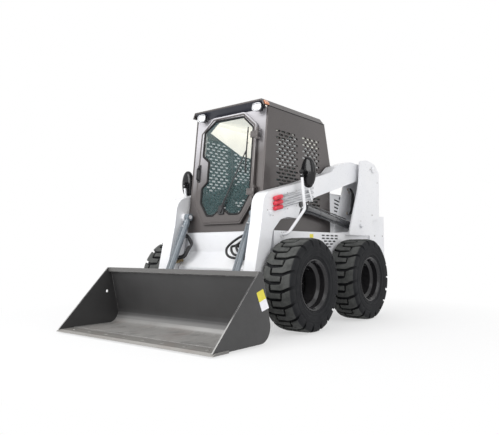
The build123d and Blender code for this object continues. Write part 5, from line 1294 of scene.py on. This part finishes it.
def make_seat():
    """Seat cushion and back on a moulded shell, with bellows, slides and belt buckles."""
    shell, bellows, slides, buckle, button = forms(5)
    outline = [(-0.04, 0.976), (-0.04, 0.992), (0.33, 0.985), (0.375, 1), (0.485, 1.64), (0.51, 1.655), (0.545, 1.64),
               (0.47, 1.05), (0.42, 0.976)]
    panel(shell, outline, 0.012, -CUSHION_HALF, CUSHION_HALF)
    wing = [(0.02, 0.985), (0.3, 0.975), (0.42, 1.03), (0.47, 1.2), (0.43, 1.19), (0.36, 1.06), (0.1, 1.025)]
    for sign in SIGNS:
        panel(shell, wing, 0.02, sign * 0.214, sign * 0.236, 0.003)
    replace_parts(piece("seat_shell", shell, "root", "black_plastic", bevel=0.006, segments=3), "seat")
    cushion("seat_cushion", lean_place((-0.048, 0.99), (0.335, 0.983)), 0.375, (0.1, 0.18, 0.26))
    cushion("seat_back", lean_place((0.386, 1.06), (0.484, 1.64)), 0.58, (0.12, 0.22, 0.32, 0.44))
    waves = [(0.17 - 0.012 * (step % 2), 0.916 + 0.006 * step) for step in range(11)]
    for fold in zip(waves, waves[1:]):
        bridge(bellows, *([bellows.verts.new((*point, level))
                           for point in rounded(rectangle(0, 0.165, size, size + 0.005), 0.03)]
                          for size, level in fold))
    piece("seat_bellows", bellows, "root", "rubber_mat", angle=60)
    for sign in SIGNS:
        box(slides, (sign * 0.185 - 0.012, -0.02, 0.9122), (sign * 0.185 + 0.012, 0.35, 0.932), inset=0.002)
        tube(slides, [(sign * 0.19, -0.02, 0.94), (sign * 0.16, -0.045, 0.945), (0, -0.05, 0.945)], 0.005, 10, 6)
        box(slides, (sign * 0.228 - 0.007, 0.3, 0.99), (sign * 0.228 + 0.007, 0.325, 1.1), inset=0.002)
    piece("seat_slides", slides, "root", "dark_steel", bevel=0.0008)
    box(buckle, (0.219, 0.295, 1.098), (0.239, 0.33, 1.165), inset=0.004)
    box(buckle, (-0.239, 0.28, 1.06), (-0.217, 0.345, 1.13), inset=0.004)
    piece("seat_belt_buckle", buckle, "root", "black_plastic", bevel=0.002)
    box(button, (0.223, 0.301, 1.164), (0.235, 0.324, 1.168), inset=0.001)
    piece("seat_belt_button", button, "root", "lamp_housing", "red_plastic", bevel=0.0006)


def make_controls():
    """Consoles with armrests, joysticks in rubber boots, and switches."""
    consoles, boots, levers, grips, switches = forms(5)
    tower = [(-0.055, 0.9125), (-0.003, 0.9125), (-0.003, 1.185), (-0.012, 1.199), (-0.046, 1.199), (-0.055, 1.185)]
    post = [(0.205, 0.9125), (0.295, 0.9125), (0.285, 1.151), (0.215, 1.151)]
    rest = [(0.002, 1.152), (0.358, 1.152), (0.358, 1.18), (0.34, 1.193), (0.03, 1.193), (0.002, 1.184)]
    folds = [(0.004 + 0.0075 * step, 0.029 - 0.0018 * step - 0.0045 * (step % 2)) for step in range(8)]
    for sign in SIGNS:
        x = sign * 0.31
        for outline, radius, half, inset in ((tower, 0.012, 0.043, 0.004), (post, 0.01, 0.024, 0.003),
                                             (rest, 0.012, 0.034, 0.006)):
            panel(consoles, outline, radius, x - half, x + half, inset)
        foot = vec(x, -0.03, 1.199)
        lathe(boots, at(foot, (0, -0.1, 1)), [(0, 0.03), *folds, (0.066, 0.01)], 28)
        stem = [foot + vec(0, -0.004, 0.05), vec(x, -0.06, 1.29), vec(sign * 0.3, -0.105, 1.371)]
        tube(levers, stem, 0.008, 14, 6)
        tip = vec(sign * 0.293, -0.145, 1.443)
        heading = (tip - stem[-1]).normalized()
        lathe(grips, at(stem[-1] - heading * 0.02, heading),
              [(0, 0), (0, 0.0145), (0.006, 0.0175), (0.016, 0.015), (0.028, 0.0175), (0.042, 0.016),
               (0.056, 0.0175), (0.07, 0.0165), (0.084, 0.0195), (0.096, 0.02), (0.101, 0.017), (0.103, 0)], 28)
        for dx, dy in ((0.007, 0), (-0.007, 0), (0, 0.009)):
            knob(switches, at(tip + heading * 0.0008 + vec(dx, dy, 0), heading), [(0, 0.0042), (0.003, 0.004),
                                                                                  (0.004, 0.003)], 16)
        for step in range(3):
            shift = x + 0.02 * step
            box(switches, (shift - 0.026, 0.045, 1.1925), (shift - 0.014, 0.065, 1.1965), inset=0.001)
    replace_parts(piece("consoles", consoles, "root", "black_plastic", bevel=0.003, segments=3), "controls")
    piece("lever_boots", boots, "root", "rubber_mat", angle=60)
    piece("levers", levers, "root", "dark_steel")
    piece("lever_grips", grips, "root", "black_plastic", angle=50)
    piece("switches", switches, "root", "lamp_housing", "label_white", bevel=0.0005)


# ======================= tail =======================
def rear_place(x, y, z):
    """Place on the rear, facing back: local x to the machine's right, y up."""
    return Matrix(((-1, 0, 0, x), (0, 0, 1, y), (0, 1, 0, z), (0, 0, 0, 1)))


def make_radiator():
    """Radiator behind the rear door, and the mesh in the door's slots."""
    core, surround, mesh_bars = forms(3)
    for low, high in (((-0.4605, 1.615, 0.492), (-0.385, 1.66, 1.085)), ((0.385, 1.615, 0.492), (0.4605, 1.66, 1.085)),
                      ((-0.386, 1.612, 1.035), (0.386, 1.664, 1.088)), ((-0.386, 1.612, 0.489), (0.386, 1.664, 0.53))):
        box(surround, low, high, inset=0.003)
    for index in range(24):
        x = -0.373 + 0.0324 * index
        box(core, (x - 0.003, 1.622, 0.529), (x + 0.003, 1.654, 1.036))
    for index in range(64):
        z = 0.535 + 0.0079 * index
        box(core, (-0.386, 1.628, z - 0.0009), (0.386, 1.65, z + 0.0009))
    piece("radiator_core", core, "root", "black_plastic")
    piece("radiator_frame", surround, "root", "dark_steel", bevel=0.0015)
    for middle in (0.19, -0.19):
        for index in range(21):
            x = middle - 0.15 + 0.015 * index
            box(mesh_bars, (x - 0.0011, 1.6915, 0.56), (x + 0.0011, 1.6945, 1.035))
        for index in range(32):
            z = 0.562 + 0.0152 * index
            box(mesh_bars, (middle - 0.153, 1.6945, z - 0.0011), (middle + 0.153, 1.697, z + 0.0011))
    piece("rear_door_mesh", mesh_bars, "rear_door", "dark_steel", "black_plastic")


def make_tail():
    """Rear door latch, lamp bezels, bolts and the hood's handle."""
    fittings, bezels, handle = forms(3)
    latch = rear_place(0.378, 1.718, 1.085)
    slab(fittings, latch, 0, 0, 0.04, 0.022, 0, 0.003, 0.008, 0.001)
    slab(fittings, latch, 0.006, 0, 0.026, 0.012, 0.0028, 0.0065, 0.006, 0.0015)
    lathe(fittings, latch @ Matrix.Translation((-0.028, 0, 0.003)), [(0, 0), (0, 0.0075), (0.003, 0.007), (0.0035, 0)],
          20)
    piece("rear_door_latch", fittings, "rear_door", "black_plastic", bevel=0.0008)
    rows = []
    for sign in SIGNS:
        back = rear_place(sign * 0.54, 1.7295, 0.99)
        strip(bezels, back, rounded(rectangle(0, 0, 0.042, 0.062), 0.008),
              [(0, -0.006), (0, 0.002), (0.003, 0.003), (0.0065, 0.002), (0.0065, -0.0005)])
        for height in (-0.022, 0.018):
            prism(bezels, back, rectangle(0, height, 0.036, 0.0012), 0.0002, 0.0018)
        rows += [((sign * 0.54, 1.7245, z), (0, 1, 0), 0.006) for z in (0.919, 1.061)]
        rows += [((sign * x, 1.724, z), (0, 1, 0), 0.014) for z in (0.42, 0.84) for x in (0.495, 0.58)]
    piece("tail_lamp_bezels", bezels, "root", "black_plastic", angle=40)
    bolts("tail_bolts", "root", rows)
    for x in (-0.06, 0.06):
        knob(handle, at((x, 1.648, 1.173)), [(0, 0.012), (0.003, 0.012), (0.004, 0.008)], 20)
    half = [(-0.06, 1.648, 1.172), (-0.06, 1.652, 1.198), (-0.045, 1.655, 1.212)]
    tube(handle, half + [(-x, y, z) for x, y, z in half[::-1]], 0.0065, 12, 5)
    piece("hood_handle", handle, "hood", "black_plastic", angle=40)
    rows = [((x, y, 1.344), (0, 0, 1), 0.01) for x in (-0.38, -0.3, 0.3, 0.38) for y in (0.775, 0.815)]
    bolts("hood_bolts", "hood", rows, "hood_paint")


make_body_details()
make_bucket_details()
make_trim()
make_mats()
make_seat()
make_controls()
make_radiator()
make_tail()

# pressed and cut edges of the plate parts are eased
PLATE_PARTS = ("arm_left", "arm_right", "upright_left", "upright_right", "chassis", "bucket", "coupler", "tail_frame",
               "engine_sides", "engine_hood", "rear_door", "cab_roof", "door_frame", "cab_front")
for row in frame["record"]["subparts"]:
    name = row["node"]
    if name.startswith(PLATE_PARTS):
        join = nodes[name].modifiers.new("join", "WELD")
        join.merge_threshold = 0.00005
        ease(nodes[name], "ease", 0.0025, 2, 40)
